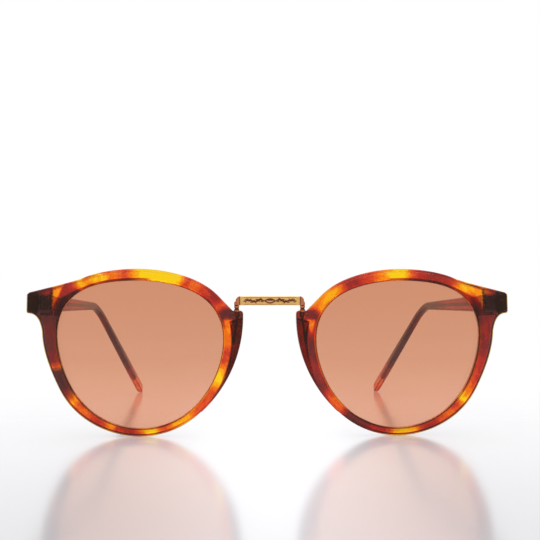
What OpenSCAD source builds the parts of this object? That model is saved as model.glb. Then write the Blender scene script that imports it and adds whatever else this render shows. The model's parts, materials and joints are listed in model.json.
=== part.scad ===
// Round sunglasses with a metal bridge bar, two hinged temples and bevelled tinted lenses.
// The front faces -Y, the temples run back along +Y and the table is the plane Z = 0.
// The origin lies on the table in the middle of the pair's width and depth.
// Right and left are the wearer's: the left side is at +X. Lengths are in millimetres.

/* [Eye shape] */
// Radius of the round lower part of each lens opening
eye_r = 22.8; // [22:0.1:24]
// How much the brow side of the opening is flattened
brow_flat = 2.9; // [2.2:0.1:3.4]
// Angle over which the brow's flattening fades out, in degrees
brow_spread = 60; // [54:1:68]
// How far the shoulder beside the nose stands out
nose_shoulder = 2.7; // [2:0.1:3.2]
// Where the shoulder beside the nose lies, in degrees above the nose side
nose_shoulder_at = 26; // [22:1:30]
// How far the shoulder beside the temple stands out
temple_shoulder = 3.75; // [3:0.05:4.2]
// Where the shoulder beside the temple lies, in degrees above the nose side
temple_shoulder_at = 149; // [145:1:153]
// Angle over which both shoulders fade out, in degrees
shoulder_spread = 32; // [28:1:36]

/* [Front] */
// Width over the two end pieces
front_w = 143; // [142:0.5:148]
// Distance between the two lens openings where they are nearest
bridge_w = 27; // [26:0.1:29]
// Depth of the rims from front to back
rim_t = 3.8; // [3.4:0.1:4.4]
// Width of the rim's face along the brow
rim_w_top = 3.45; // [3:0.05:4]
// Width of the rim's face where it is thinnest, at the cheek
rim_w_low = 2.4; // [2:0.05:3]
// Where the rim is thinnest, in degrees above the nose side
rim_thin_at = 290; // [280:1:300]
// How much the rim widens beside the temple, below the end piece
temple_flare = 1.4; // [0.8:0.1:1.8]
// Radius of the spherical front surface that the lenses and rims follow
base_r = 132; // [110:1:180]
// Backward slant of each rim away from the nose, in degrees
face_form = 4; // [2:0.5:6]
// Radius of the rims' outer edges
edge_round = 0.9; // [0.5:0.1:1.3]
// Depth of the groove that holds the lens
groove_d = 0.6; // [0.4:0.05:0.8]
// Half the width of the groove's mouth
groove_w = 0.6; // [0.4:0.05:0.8]

/* [Lenses] */
// Thickness of the lenses
lens_t = 2.0; // [1.6:0.1:2.4]
// Gap between the lens edge and the rim
lens_clear = 0.08; // [0.05:0.01:0.12]

/* [End pieces] */
// Height of the end pieces and of the temples where they meet
end_h = 6.05; // [5.6:0.05:6.6]
// Height of the end pieces' middle above the middle of the lens opening
end_rise = 13.45; // [12.5:0.05:14]
// Slope of the end piece's top edge, in degrees
end_slope = 13; // [9:1:16]
// Thickness of the end piece at its outer edge
end_t = 4.0; // [3.9:0.1:5]
// Width of the thick block that takes the hinge
block_w = 8.15; // [7.6:0.05:8.6]
// Radius of the end piece's corners
corner_r = 0.8; // [0.5:0.1:1.2]

/* [Nose] */
// Distance between the two rims' nose bosses at the top
nose_gap = 15.4; // [14.6:0.1:16.2]
// Radius of the arc along the nose side of each rim
nose_arc_r = 37.5; // [34:0.5:42]
// Height of that arc's centre above the middle of the lens opening
nose_arc_rise = 9.5; // [8.5:0.1:10.5]
// Height of the nose boss's top above the middle of the lens opening
boss_rise = 11.35; // [10.8:0.05:11.8]
// Width of the nose boss's flat top
boss_w = 3.1; // [2.8:0.1:3.4]
// Radius of the boss's upper corner
boss_r = 1.0; // [0.6:0.1:1.2]
// Rim width left bare between the lens opening and the nose pad
pad_strip = 2.2; // [1.8:0.1:2.4]
// How far the nose pads reach behind the rims
pad_depth = 6.5; // [5:0.1:7.5]
// Thickness of a pad at its back as a share of its thickness at the rim
pad_taper = 0.55; // [0.4:0.05:0.8]
// Lower end of the nose pads, in degrees below the nose side
pad_low_at = 31; // [26:1:34]
// Thickness of the bond between glued or heat-set pieces
bond = 0.04; // [0.02:0.01:0.06]

/* [Bridge] */
// Height of the bridge bar's middle above the middle of the lens opening
bar_rise = 14.2; // [13.8:0.05:14.8]
// Height of the bridge bar
bar_h = 2.6; // [2:0.1:3]
// Thickness of the bridge bar
bar_t = 0.9; // [0.7:0.05:1]
// Outer radius of the bar's folded ends
bar_fold_r = 1.2; // [1.1:0.05:1.5]
// How far the bar's face stands in front of its legs
bar_reach = 3.4; // [2.8:0.1:4]
// How far the bar's ends stand out past the middle of its legs
bar_over = 0.35; // [0.25:0.05:0.5]
// Diameter of the bridge legs
leg_d = 1.5; // [1.2:0.05:1.6]
// Distance from the boss's nose side to the middle of the leg
leg_inset = 1.9; // [1.7:0.05:2.1]
// How deep the leg's full diameter is sunk into the boss
leg_sink = 2.0; // [1.5:0.1:2.5]
// Diameter of the core that runs on from the leg down into the rim
core_d = 0.8; // [0.6:0.05:1]
// How far the core runs down below the leg
core_reach = 8; // [6:0.5:9]

/* [Hinges] */
// Diameter of the hinge knuckles
knuckle_d = 3.0; // [2.8:0.05:3.2]
// Height of one hinge knuckle
knuckle_h = 1.4; // [1.2:0.05:1.5]
// Gap between neighbouring knuckles
knuckle_gap = 0.06; // [0.04:0.01:0.1]
// Distance from the back of the end piece to the hinge axis
axis_back = 1.7; // [1.65:0.05:2]
// Distance from the temple's inner face to the hinge axis
axis_in = 2.0; // [1.9:0.05:2.3]
// Diameter of the hinge screw's shank
screw_d = 1.4; // [1.2:0.05:1.6]
// Diameter of the hinge screw's head
screw_head_d = 2.3; // [2:0.05:2.5]
// Height of the hinge screw's head
screw_head_h = 0.6; // [0.5:0.05:0.8]
// Running clearance round the screw in the temple's knuckle, on the radius
screw_clear = 0.05; // [0.02:0.01:0.08]
// Width of the hinge leaf that is sunk into the end piece
foot_w = 2.2; // [2:0.05:2.4]
// Depth of the hinge leaf that is sunk into the end piece
foot_depth = 2.6; // [2:0.1:3]
// Thickness of the webs between the knuckles and the leaves
web_t = 1.6; // [1.3:0.05:1.8]
// Length of the hinge plate on the temple
plate_len = 9.5; // [8.5:0.1:11]
// Height of the hinge plate on the temple
plate_h = 4.0; // [3.6:0.1:4.4]
// Thickness of the hinge plate on the temple
plate_t = 0.9; // [0.7:0.05:1]
// Length of the tang at the plate's back end, which holds the core wire
tang_len = 1.4; // [1:0.1:2]
// Diameter of the temple rivets
rivet_d = 1.1; // [0.9:0.05:1.3]
// Diameter of the rivet heads
rivet_head_d = 1.9; // [1.7:0.05:2.2]
// Height of the rivet heads
rivet_head_h = 0.35; // [0.25:0.05:0.5]
// Distance of the first rivet from the temple's front end
rivet_first = 2.6; // [2.2:0.1:3]
// Distance between the two rivets
rivet_pitch = 3.6; // [3.2:0.1:4]

/* [Temples] */
// Gap between the temple's front end and the end piece
butt_gap = 0.15; // [0.1:0.05:0.3]
// Step from the end piece's outer side in to the temple's outer face
temple_step = 0.15; // [0:0.05:0.4]
// Thickness of the temples at the hinge
temple_t = 3.6; // [3.4:0.05:4]
// Thickness of the temples at the bend and beyond
temple_t_back = 3.0; // [2.8:0.05:3.4]
// Height of the temples at the bend
bend_h = 2.8; // [2.6:0.1:3.6]
// Height of the dropped ends
tip_h = 4.4; // [3.8:0.1:5]
// Radius of the temples' edges
temple_round = 1.1; // [0.8:0.05:1.2]
// Length of the straight part of the temples
straight_len = 76; // [70:0.5:84]
// Downward slope of the straight part, in degrees
straight_dip = 1.6; // [0.5:0.1:3]
// Radius of the bend
bend_r = 24; // [18:0.5:32]
// Slope of the dropped ends, in degrees
drop_angle = 41; // [36:0.5:46]
// Inward slant of the straight part, in degrees
toe_in = 5; // [4:0.25:5.5]
// Inward slant of the dropped ends, in degrees
hook_in = 14; // [11:0.5:15]
// Length over which the tips are rounded off
tip_round = 3.5; // [2.5:0.1:4.5]
// Diameter of the core wire in the temples
wire_d = 1.2; // [1:0.05:1.4]
// Distance from the end of the core wire to the temple's tip
wire_short = 9; // [7:0.5:14]

/* [Hidden] */
$fn = 48;

// Colours of the pieces
tortoise = "#a8481c";
rose_brown = "#d29673";
gold = "#c9a468";
steel = "#9a9a9e";

// A value that eases from 0 to 1 as t runs from 0 to 1
function ease(t) = let (c = min(max(t, 0), 1)) c * c * (3 - 2 * c);
// A smooth hump of height 1 at the angle at, which fades out over the angle spread
function hump(a, at, spread) = exp(-pow(((a - at + 540) % 360 - 180) / spread, 2));
// The point at angle a and radius r on the plane of a lens: [towards the temple, up]
function polar(a, r) = [-r * cos(a), r * sin(a)];

// Radius of the lens opening at angle a, where 0 is the nose side and 90 is the brow
function eye(a) = eye_r - brow_flat * hump(a, 90, brow_spread)
    + nose_shoulder * hump(a, nose_shoulder_at, shoulder_spread)
    + temple_shoulder * hump(a, temple_shoulder_at, shoulder_spread);

// Width of the rim's face at angle a: it grows away from its thinnest place, and flares below the end piece
growth = 1.25;
flare_from = 205;
flare_to = 160;
function rim_w(a) = rim_w_low
    + (rim_w_top - rim_w_low) * ease(growth * (1 - cos(a - rim_thin_at)))
    + (a < flare_to || a > flare_from ? 0
        : temple_flare * ease((flare_from - a) / (flare_from - flare_to)));

// Middle of the lens opening, and how far the lens shape reaches towards the nose
nose_reach = max([for (a = [0:1:45]) eye(a) * cos(a)]);
eye_x = bridge_w / 2 + nose_reach;
eye_z = eye(270) + rim_w(270);

// Depth of the front surface behind the front plane, at the point p on the lens plane
function face(p) = base_r - sqrt(base_r * base_r - p.x * p.x - p.y * p.y) + p.x * tan(face_form);

// Corners of the end piece on the lens plane
end_x = front_w / 2 - eye_x;
end_top = end_rise + end_h / 2;
end_low = end_rise - end_h / 2;
// Back of the end piece, behind the front plane
end_back = face([end_x, end_rise]) + end_t;

// The nose side of the boss, as a radius at angle a
arc_x = -(eye_x - nose_gap / 2 - nose_arc_r);
function nose_side(a) = let (d = polar(a, 1), b = d.x * arc_x + d.y * nose_arc_rise)
    b + sqrt(b * b + nose_arc_r * nose_arc_r - arc_x * arc_x - nose_arc_rise * nose_arc_rise);
boss_x = -(eye_x - nose_gap / 2);
notch_x = boss_x + boss_w;

// The hinge axis and the temple's front end
temple_in_x = front_w / 2 - temple_step - temple_t;
temple_mid_x = temple_in_x + temple_t / 2;
hinge_x = temple_in_x - axis_in;
hinge_y = end_back + axis_back;
hinge_z = eye_z + end_rise;
hinge_h = 3 * knuckle_h + 2 * knuckle_gap;
butt_y = end_back + butt_gap;

// The temple's middle line: a straight part, a bend and a drop that reaches the table
bend_turn = drop_angle - straight_dip;
bend_len = bend_r * bend_turn * PI / 180;
drop_from_z = hinge_z - straight_len * sin(straight_dip) - bend_r * (cos(straight_dip) - cos(drop_angle));
// Height of the middle line's end when the rounded tip just touches the table
tip_low = norm([tip_round * sin(drop_angle), tip_h / 2 * cos(drop_angle)]) - tip_round * sin(drop_angle);
drop_len = (drop_from_z - tip_low) / sin(drop_angle);
temple_len = straight_len + bend_len + drop_len;
// Share of the bend that lies before the distance s from the front end
function bent(s) = min(max((s - straight_len) / bend_len, 0), 1);
// Slope of the middle line at the distance s, in degrees
function dip(s) = straight_dip + bend_turn * bent(s);
// Tilt of the section at the distance s: the front end is cut upright, to butt on the end piece
function tilt(s) = s > 0 ? dip(s) : 0;
// Inward slant at the distance s, which turns evenly over the bend
function slant(s) = toe_in + (hook_in - toe_in) * bent(s);
hook_r = bend_len / ((hook_in - toe_in) * PI / 180);
// Inward shift of the middle line at the distance s
function shift(s) = min(s, straight_len) * sin(toe_in) + hook_r * (cos(toe_in) - cos(slant(s)))
    + max(s - straight_len - bend_len, 0) * sin(hook_in);
// Back and down from the front end, as [y, z], at the distance s
function side(s) = s <= straight_len ? [s * cos(straight_dip), -s * sin(straight_dip)]
    : let (q = [straight_len * cos(straight_dip), -straight_len * sin(straight_dip)])
        s <= straight_len + bend_len
            ? q + bend_r * [sin(dip(s)) - sin(straight_dip), cos(dip(s)) - cos(straight_dip)]
            : q + bend_r * [sin(drop_angle) - sin(straight_dip), cos(drop_angle) - cos(straight_dip)]
                + (s - straight_len - bend_len) * [cos(drop_angle), -sin(drop_angle)];
// The middle line in the pair's own frame, before the origin is set
function along(s) = [temple_mid_x - shift(s), butt_y + side(s).x, hinge_z + side(s).y];
bend_mid = straight_len + bend_len / 2;
// Thickness and height of the temple at the distance s
function temple_thick(s) = temple_t + (temple_t_back - temple_t) * ease(s / bend_mid);
function temple_high(s) = s < bend_mid ? end_h + (bend_h - end_h) * s / bend_mid
    : bend_h + (tip_h - bend_h) * ease((s - bend_mid) / (temple_len - bend_mid - 2 * tip_round));

// The legs and cores in the left boss: [x, z] of each end on the lens plane
leg_u = boss_x + leg_inset;
leg_foot = [leg_u, boss_rise - leg_sink];
core_v = leg_foot.y - core_reach;
core_a = asin(core_v / eye_r);
core_foot = [-(eye(core_a) + groove_d + nose_side(core_a)) / 2 * cos(core_a), core_v];
leg_y = face(leg_foot) + rim_t / 2;
leg_top_z = eye_z + bar_rise + bar_h / 2;
bar_front = leg_y - bar_reach;
bar_half = eye_x + leg_u + bar_over;

// The origin is in the middle of the depth, from the bar's face to the temples' tips
depth_back = along(temple_len).y;
front_y = -(bar_front + depth_back) / 2;

// A point of the left lens plane in the pair's own frame, at the depth y behind the front plane
function place(p, y) = [eye_x + p.x, y, eye_z + p.y];

// Triangles that join n rings of m points; the rings close on themselves when loop is true
function skin(n, m, loop) = [for (i = [0:(loop ? n : n - 1) - 1], j = [0:m - 1])
    let (a = i * m + j, b = i * m + (j + 1) % m, c = (i + 1) % n * m + (j + 1) % m, d = (i + 1) % n * m + j)
    each [[a, c, b], [a, d, c]]];
// The flat ends of a tube of n rings of m points, each a fan from its first point
function tube_ends(n, m) = [for (j = [1:m - 2]) each [[0, j, j + 1],
    [(n - 1) * m, (n - 1) * m + j + 1, (n - 1) * m + j]]];
// Points on a curve from a to c that bends towards b, without the first one
function curve(a, b, c, n) = [for (i = [1:n]) let (t = i / n) (1 - t) * (1 - t) * a
    + 2 * t * (1 - t) * b + t * t * c];
// Points on a round corner about the centre c, from the angle a0 to a1
function corner(c, r, a0, a1, n) = [for (i = [0:n]) let (a = a0 + (a1 - a0) * i / n)
    c + r * [cos(a), sin(a)]];

// The rim's outer outline on the lens plane, from the nose shoulder over the brow and round
brow_from = 35;
brow_to = 131;
flare_end = 170;
nose_from = 315;
ring_step = 4;
function rim_edge(a) = polar(a, eye(a) + rim_w(a));
// The top edge leaves the brow's curve this far before it meets the end piece's slope
brow_ease = 4;
end_lean = tan(end_slope);
end_tip = [end_x - corner_r, end_top + corner_r * end_lean];
brow_x = rim_edge(brow_to).x + brow_ease;
brow_corner = [brow_x, end_tip.y + (end_tip.x - brow_x) * end_lean];
// Where the sweep below the end piece bends, from the rim's edge at flare_end
sweep_bend = [0.8, 5.2];
nose_top_a = asin((boss_rise - boss_r) / norm([boss_x, boss_rise]));
nose_corner = [boss_x + boss_r, boss_rise - boss_r];
rim_outline = concat(
    [for (a = [brow_from:ring_step:brow_to]) rim_edge(a)],
    curve(rim_edge(brow_to), brow_corner, end_tip, 4),
    corner([end_x - corner_r, end_top - corner_r], corner_r, 60, 0, 2),
    corner([end_x - corner_r, end_low + corner_r], corner_r, 0, -90, 3),
    curve([end_x - corner_r, end_low], rim_edge(flare_end) + sweep_bend, rim_edge(flare_end), 5),
    [for (a = [flare_end + ring_step:ring_step:nose_from - 1]) rim_edge(a)],
    [for (a = [nose_from:ring_step:360 + nose_top_a - ring_step / 2])
        polar(a, max(eye(a) + rim_w(a), nose_side(a)))],
    corner(nose_corner, boss_r, 180, 90, 3),
    [[(nose_corner.x + notch_x) / 2, boss_rise], [notch_x, boss_rise]],
    [([notch_x, boss_rise] + rim_edge(brow_from)) / 2]);

// The rim's cross-section, w wide: [outward from the lens opening, back from the front surface]
// Its back edge has the radius back_r, and the edges round the opening are chamfered
inner_round = 0.35;
function rim_section(w, back_r) = concat(
    [[0, rim_t / 2 - groove_w], [groove_d, rim_t / 2], [0, rim_t / 2 + groove_w]],
    [[0, rim_t - inner_round], [inner_round, rim_t]],
    corner([w - back_r, rim_t - back_r], back_r, 90, 0, 3),
    corner([w - edge_round, edge_round], edge_round, 0, -90, 3),
    [[inner_round, 0], [0, inner_round]]);
section_points = len(rim_section(rim_w_top, edge_round));
// The nose side's back edge stays almost sharp, so that the nose pad sits flush on it
pad_foot_low = -eye_r * sin(pad_low_at + 2);
function on_nose(p) = p.x < 0 && p.y <= boss_rise && p.y > pad_foot_low;
function rim_ring(p) = let (a = atan2(p.y, -p.x), q = polar(a, eye((a + 360) % 360)),
        w = norm(p - q), d = (p - q) / w)
    [for (s = rim_section(w, on_nose(p) ? inner_round : edge_round)) let (m = q + d * s.x)
        place(m, face(m) + s.y)];

module left_or_right(left) {
    if (left) translate([0, front_y, 0]) children();
    else mirror([1, 0, 0]) translate([0, front_y, 0]) children();
}

// A round bar of radius r from the point a to the point b
module rod(a, b, r) {
    v = b - a;
    translate(a) rotate([0, acos(v.z / norm(v)), atan2(v.y, v.x)]) cylinder(h = norm(v), r = r);
}

// The leg's bore and the core's bore, wider than the metal by extra on the radius
module leg_metal(extra, top_z) {
    foot = place(leg_foot, leg_y);
    deep = place(core_foot, face(core_foot) + rim_t / 2);
    translate(foot - [0, 0, extra]) cylinder(h = top_z - foot.z + extra, r = leg_d / 2 + extra);
    rod(foot, deep, core_d / 2 + extra);
}

// The hinge leaf's foot in the end piece
module hinge_foot(extra) {
    translate([hinge_x - foot_w / 2 - extra, end_back - foot_depth - extra, hinge_z - hinge_h / 2 - extra])
        cube([foot_w + 2 * extra, foot_depth + 2 * extra, hinge_h + 2 * extra]);
}

// The thick block behind the end piece, with its outer corners rounded
block_skin = 0.05;
module end_block() {
    side_x = end_x - block_skin;
    top = end_top - block_skin;
    low = end_low + block_skin;
    from_y = face([end_x, end_rise]) + edge_round + 2 * block_skin;
    outline = concat([[end_x - block_w, low]],
        corner([side_x - corner_r, low + corner_r], corner_r, -90, 0, 4),
        corner([side_x - corner_r, top - corner_r], corner_r, 0, 90, 4),
        [[end_x - block_w, top]]);
    translate([eye_x, end_back, eye_z]) rotate([90, 0, 0])
        linear_extrude(height = end_back - from_y) polygon(outline);
}

module rim(left) {
    rings = [for (p = rim_outline) rim_ring(p)];
    color(tortoise) left_or_right(left) difference() {
        union() {
            polyhedron([for (r = rings) each r], skin(len(rings), section_points, true));
            end_block();
        }
        leg_metal(bond, eye_z + boss_rise + rim_t);
        hinge_foot(bond);
    }
}

// Rings of the lens: shares of its radius on each face, and the bevel between them
lens_step = 5;
lens_rings = [0.3, 0.6, 0.85, 1];
bevel_clear = 0.1;
module lens(left) {
    count = 360 / lens_step;
    mid = rim_t / 2;
    front_face = [for (k = lens_rings) [k, mid - lens_t / 2]];
    back_face = [for (i = [len(lens_rings) - 1:-1:0]) [lens_rings[i], mid + lens_t / 2]];
    // Each row is [share of the radius, depth behind the front surface, extra radius]
    rows = concat([for (f = front_face) [f.x, f.y, 0]],
        [[1, mid - groove_w + bevel_clear, 0], [1, mid, groove_d - bevel_clear],
            [1, mid + groove_w - bevel_clear, 0]],
        [for (f = back_face) [f.x, f.y, 0]]);
    points = [for (r = rows, i = [0:count - 1]) let (a = i * lens_step,
            p = polar(a, (eye(a) - lens_clear) * r.x + r.z)) place(p, face(p) + r.y)];
    poles = [place([0, 0], mid - lens_t / 2), place([0, 0], mid + lens_t / 2)];
    last = (len(rows) - 1) * count;
    faces = concat(skin(len(rows), count, false),
        [for (i = [0:count - 1]) [i, (i + 1) % count, len(points)]],
        [for (i = [0:count - 1]) [last + (i + 1) % count, last + i, len(points) + 1]]);
    color(rose_brown, 0.5) left_or_right(left) polyhedron(concat(points, poles), faces);
}

// The pad's section, from its foot on the rim round its back and down its nose side.
// Each row is [share of the foot's width, share of the back's width, share of the depth].
pad_section = [[1, 0, 0], [0, 0, 0], [0, 0, 0.4], [0, 0, 0.8], [0, 0.15, 0.95], [0, 0.5, 1],
    [0, 0.8, 0.93], [0.35, 0.65, 0.72], [0.9, 0.1, 0.3]];
pad_rings = 18;
// Step from the rim's nose side in to the pad's, and how full the pad's outline is from the side
pad_step = 0.1;
pad_full = 2.6;
pad_span = pad_low_at + nose_top_a - 1;
function pad_ring(i) = let (t = (i + 0.5) / pad_rings, a = (360 - pad_low_at + pad_span * t) % 360,
        r = eye(a) + pad_strip, foot = nose_side(a) - r - pad_step, back = foot * pad_taper,
        depth = pad_depth * sqrt(1 - pow(abs(2 * t - 1), pad_full)))
    [for (s = pad_section) let (p = polar(a, r + foot * s[0] + back * s[1]))
        place(p, face(p) + rim_t + bond + depth * s[2])];
module nose_pad(left) {
    points = [for (i = [0:pad_rings - 1]) each pad_ring(i)];
    m = len(pad_section);
    color(tortoise) left_or_right(left)
        polyhedron(points, concat(skin(pad_rings, m, false), tube_ends(pad_rings, m)));
}

module bridge_bar() {
    y0 = bar_front;
    r = bar_fold_r;
    h = bar_half;
    // From the left end round the outside of the fold, and from the fold's inside back to that end
    outer = concat([[h, leg_y]], corner([h - r, y0 + r], r, 0, -90, 8));
    inner = concat(corner([h - r, y0 + r], r - bar_t, -90, 0, 8), [[h - bar_t, leg_y]]);
    other_outer = [for (i = [len(outer) - 1:-1:0]) [-outer[i].x, outer[i].y]];
    other_inner = [for (i = [len(inner) - 1:-1:0]) [-inner[i].x, inner[i].y]];
    color(gold) translate([0, front_y, eye_z + bar_rise - bar_h / 2]) difference() {
        linear_extrude(height = bar_h) polygon(concat(outer, other_outer, other_inner, inner));
        for (x = [-1, 1]) translate([x * (eye_x + leg_u), leg_y, -bond])
            cylinder(h = bar_h + 2 * bond, r = leg_d / 2 + bond);
    }
}

module bridge_leg(left) {
    color(gold) left_or_right(left) leg_metal(0, leg_top_z);
}

module hinge_front(left) {
    outer_lift = knuckle_h + knuckle_gap;
    color(steel) left_or_right(left) difference() {
        union() {
            hinge_foot(0);
            for (k = [-1, 1]) translate([hinge_x, hinge_y, hinge_z + k * outer_lift - knuckle_h / 2]) {
                cylinder(h = knuckle_h, d = knuckle_d);
                translate([-web_t / 2, -axis_back - foot_depth / 2, 0])
                    cube([web_t, axis_back + foot_depth / 2, knuckle_h]);
            }
        }
        translate([hinge_x, hinge_y, hinge_z - hinge_h]) cylinder(h = 2 * hinge_h, d = screw_d + 2 * bond);
        translate([hinge_x, hinge_y, hinge_z + hinge_h / 2 - screw_head_h - bond])
            cylinder(h = hinge_h, d = screw_head_d + 2 * bond);
    }
}

module hinge_screw(left) {
    slot_w = 0.35;
    slot_h = 0.25;
    top = hinge_z + hinge_h / 2;
    color(steel) left_or_right(left) difference() {
        translate([hinge_x, hinge_y, 0]) {
            translate([0, 0, hinge_z - hinge_h / 2]) cylinder(h = hinge_h, d = screw_d);
            translate([0, 0, top - screw_head_h]) cylinder(h = screw_head_h, d = screw_head_d);
        }
        translate([hinge_x - screw_head_d, hinge_y - slot_w / 2, top - slot_h])
            cube([2 * screw_head_d, slot_w, slot_h + 1]);
    }
}

// Places its children at the front end of the temple's inner face, turned along the temple
module temple_frame() {
    translate([temple_in_x, butt_y, hinge_z]) rotate([0, 0, toe_in]) children();
}

// The hinge plate in the temple's inner face, with the tang that holds the core wire
plate_from = 0.5;
module temple_plate(extra, inward) {
    reach = temple_t / 2 + wire_d / 2;
    temple_frame() {
        translate([-inward, plate_from - extra, -plate_h / 2 - extra])
            cube([plate_t + extra + inward, plate_len + 2 * extra, plate_h + 2 * extra]);
        translate([-inward, plate_from + plate_len - tang_len - extra, -plate_h / 2 - extra])
            cube([reach + extra + inward, tang_len + 2 * extra, plate_h + 2 * extra]);
    }
}

// Round bars through the temple at the two rivets, longer than the temple is thick by out
module rivet_shanks(extra, out) {
    temple_frame() for (i = [0, 1]) translate([-extra, rivet_first + i * rivet_pitch, 0])
        rotate([0, 90, 0]) cylinder(h = temple_t + out + extra, d = rivet_d + 2 * extra);
}

// Distances from the front end at which the core wire starts, behind the slanted tang, and ends
wire_from = (plate_from + plate_len) * cos(toe_in) + (temple_t + wire_d) / 2 * sin(toe_in) + 2 * bond;
wire_to = temple_len - wire_short;
wire_sides = 8;
// A tube round the middle line from s0 to s1, with its rings closer together in the bend
straight_rings = 5;
bend_rings = 6;
drop_rings = 3;
function tube_ring(s, r) = let (c = along(s), p = dip(s))
    [for (i = [0:wire_sides - 1]) let (a = -i * 360 / wire_sides, u = r * cos(a), v = r * sin(a))
        c + [u, v * sin(p), v * cos(p)]];
module wire(r, s0, s1) {
    bend_end = straight_len + bend_len;
    stops = concat([for (i = [0:straight_rings - 1]) s0 + (straight_len - s0) * i / straight_rings],
        [for (i = [0:bend_rings]) straight_len + bend_len * i / bend_rings],
        [for (i = [1:drop_rings]) bend_end + (s1 - bend_end) * i / drop_rings]);
    rings = [for (s = stops) tube_ring(s, r)];
    polyhedron([for (q = rings) each q],
        concat(skin(len(rings), wire_sides, false), tube_ends(len(rings), wire_sides)));
}

// The temple's cross-section at the distance s, shrunk by k towards its middle line.
// Its edges are rounded, by no more than most_round of half its thickness or height.
most_round = 0.7;
function temple_ring(s, k) = let (c = along(s), p = tilt(s), t = temple_thick(s) / 2 * k,
        h = temple_high(s) / 2 * k, r = min(temple_round, t * most_round, h * most_round))
    [for (q = [[1, 1], [1, -1], [-1, -1], [-1, 1]], i = [0:2])
        let (turn = (q.x * q.y > 0 ? 2 - i : i) * 45, u = q.x * (t - r + r * cos(turn)),
            v = q.y * (h - r + r * sin(turn)))
        c + [u, v * sin(p), v * cos(p)]];
// Rings on each stretch of the temple, and the angles of the rings on its round tip
temple_rings = [11, 7, 7];
tip_angles = [20, 40, 60, 80, 86];
module temple(left) {
    bend_end = straight_len + bend_len;
    tip_from = temple_len - tip_round;
    stops = concat([for (i = [0:temple_rings[0]]) straight_len * i / temple_rings[0]],
        [for (i = [1:temple_rings[1]]) straight_len + bend_len * i / temple_rings[1]],
        [for (i = [1:temple_rings[2]]) bend_end + (tip_from - bend_end) * i / temple_rings[2]]);
    body = [for (s = stops) temple_ring(s, 1)];
    tip = [for (a = tip_angles) temple_ring(tip_from + tip_round * sin(a), cos(a))];
    rings = concat(body, tip);
    m = len(rings[0]);
    color(tortoise) left_or_right(left) difference() {
        polyhedron([for (q = rings) each q], concat(skin(len(rings), m, false), tube_ends(len(rings), m)));
        temple_plate(bond, 1);
        wire(wire_d / 2 + bond, wire_from - tang_len / 2, wire_to + bond);
        rivet_shanks(bond, 1);
    }
}

module temple_core(left) {
    color(steel) left_or_right(left) wire(wire_d / 2, wire_from, wire_to);
}

module hinge_temple(left) {
    web_reach = axis_in + plate_t / 2;
    color(steel) left_or_right(left) difference() {
        union() {
            temple_plate(0, 0);
            translate([hinge_x, hinge_y, hinge_z - knuckle_h / 2]) {
                cylinder(h = knuckle_h, d = knuckle_d);
                translate([0, -web_t / 2, 0]) cube([web_reach, web_t, knuckle_h]);
            }
        }
        translate([hinge_x, hinge_y, hinge_z - knuckle_h])
            cylinder(h = 2 * knuckle_h, d = screw_d + 2 * screw_clear);
        rivet_shanks(bond, 0);
    }
}

module temple_rivets(left) {
    color(steel) left_or_right(left) {
        rivet_shanks(0, rivet_head_h);
        temple_frame() for (i = [0, 1]) translate([temple_t + bond, rivet_first + i * rivet_pitch, 0])
            rotate([0, 90, 0]) cylinder(h = rivet_head_h, d = rivet_head_d);
    }
}

rim(false);  // rim_right
rim(true);  // rim_left
lens(false);  // lens_right
lens(true);  // lens_left
nose_pad(false);  // nose_pad_right
nose_pad(true);  // nose_pad_left
bridge_bar();
bridge_leg(false);  // bridge_leg_right
bridge_leg(true);  // bridge_leg_left
hinge_front(false);  // hinge_front_right
hinge_front(true);  // hinge_front_left
hinge_screw(false);  // hinge_screw_right
hinge_screw(true);  // hinge_screw_left
hinge_temple(false);  // hinge_temple_right
hinge_temple(true);  // hinge_temple_left
temple(false);  // temple_right
temple(true);  // temple_left
temple_core(false);  // temple_core_right
temple_core(true);  // temple_core_left
temple_rivets(false);  // temple_rivets_right
temple_rivets(true);  // temple_rivets_left
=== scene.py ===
# %% [markdown]
# # Round sunglasses with a metal bridge bar
#
# This lesson dresses a pair of round sunglasses. The construction is fixed: every piece has its
# place, its size and, for the two temples, its hinge. What is left is the look: polished
# translucent tortoise plastic, tinted lenses, an engraved gold bar and small steel hinges.
#
# Nearly every piece is a surface worked out with numpy. A shape is a function of two parameters,
# or a profile carried along a path, and the whole grid of points is computed at once. All shape
# sizes are in millimetres and angles in degrees, and a mesh is turned to metres when it is made.

# %% Load the fixed frame
import json
import math

import bpy
import numpy as np
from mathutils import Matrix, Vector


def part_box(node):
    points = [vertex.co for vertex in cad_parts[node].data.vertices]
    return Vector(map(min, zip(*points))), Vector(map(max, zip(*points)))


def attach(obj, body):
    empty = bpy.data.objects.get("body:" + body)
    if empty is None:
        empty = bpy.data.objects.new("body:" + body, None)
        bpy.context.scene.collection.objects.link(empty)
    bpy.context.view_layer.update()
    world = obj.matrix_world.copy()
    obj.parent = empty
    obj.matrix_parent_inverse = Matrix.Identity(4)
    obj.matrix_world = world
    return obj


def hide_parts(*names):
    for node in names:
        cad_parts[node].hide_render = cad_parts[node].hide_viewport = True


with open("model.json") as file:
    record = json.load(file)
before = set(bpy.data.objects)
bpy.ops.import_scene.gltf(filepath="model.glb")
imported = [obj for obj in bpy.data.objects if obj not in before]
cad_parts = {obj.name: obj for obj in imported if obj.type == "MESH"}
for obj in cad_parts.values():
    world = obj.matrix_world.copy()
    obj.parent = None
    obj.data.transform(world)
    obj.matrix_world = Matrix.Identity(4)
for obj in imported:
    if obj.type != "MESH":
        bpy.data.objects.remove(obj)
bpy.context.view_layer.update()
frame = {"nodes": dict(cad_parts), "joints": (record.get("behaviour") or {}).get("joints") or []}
MM = 0.001

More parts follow.
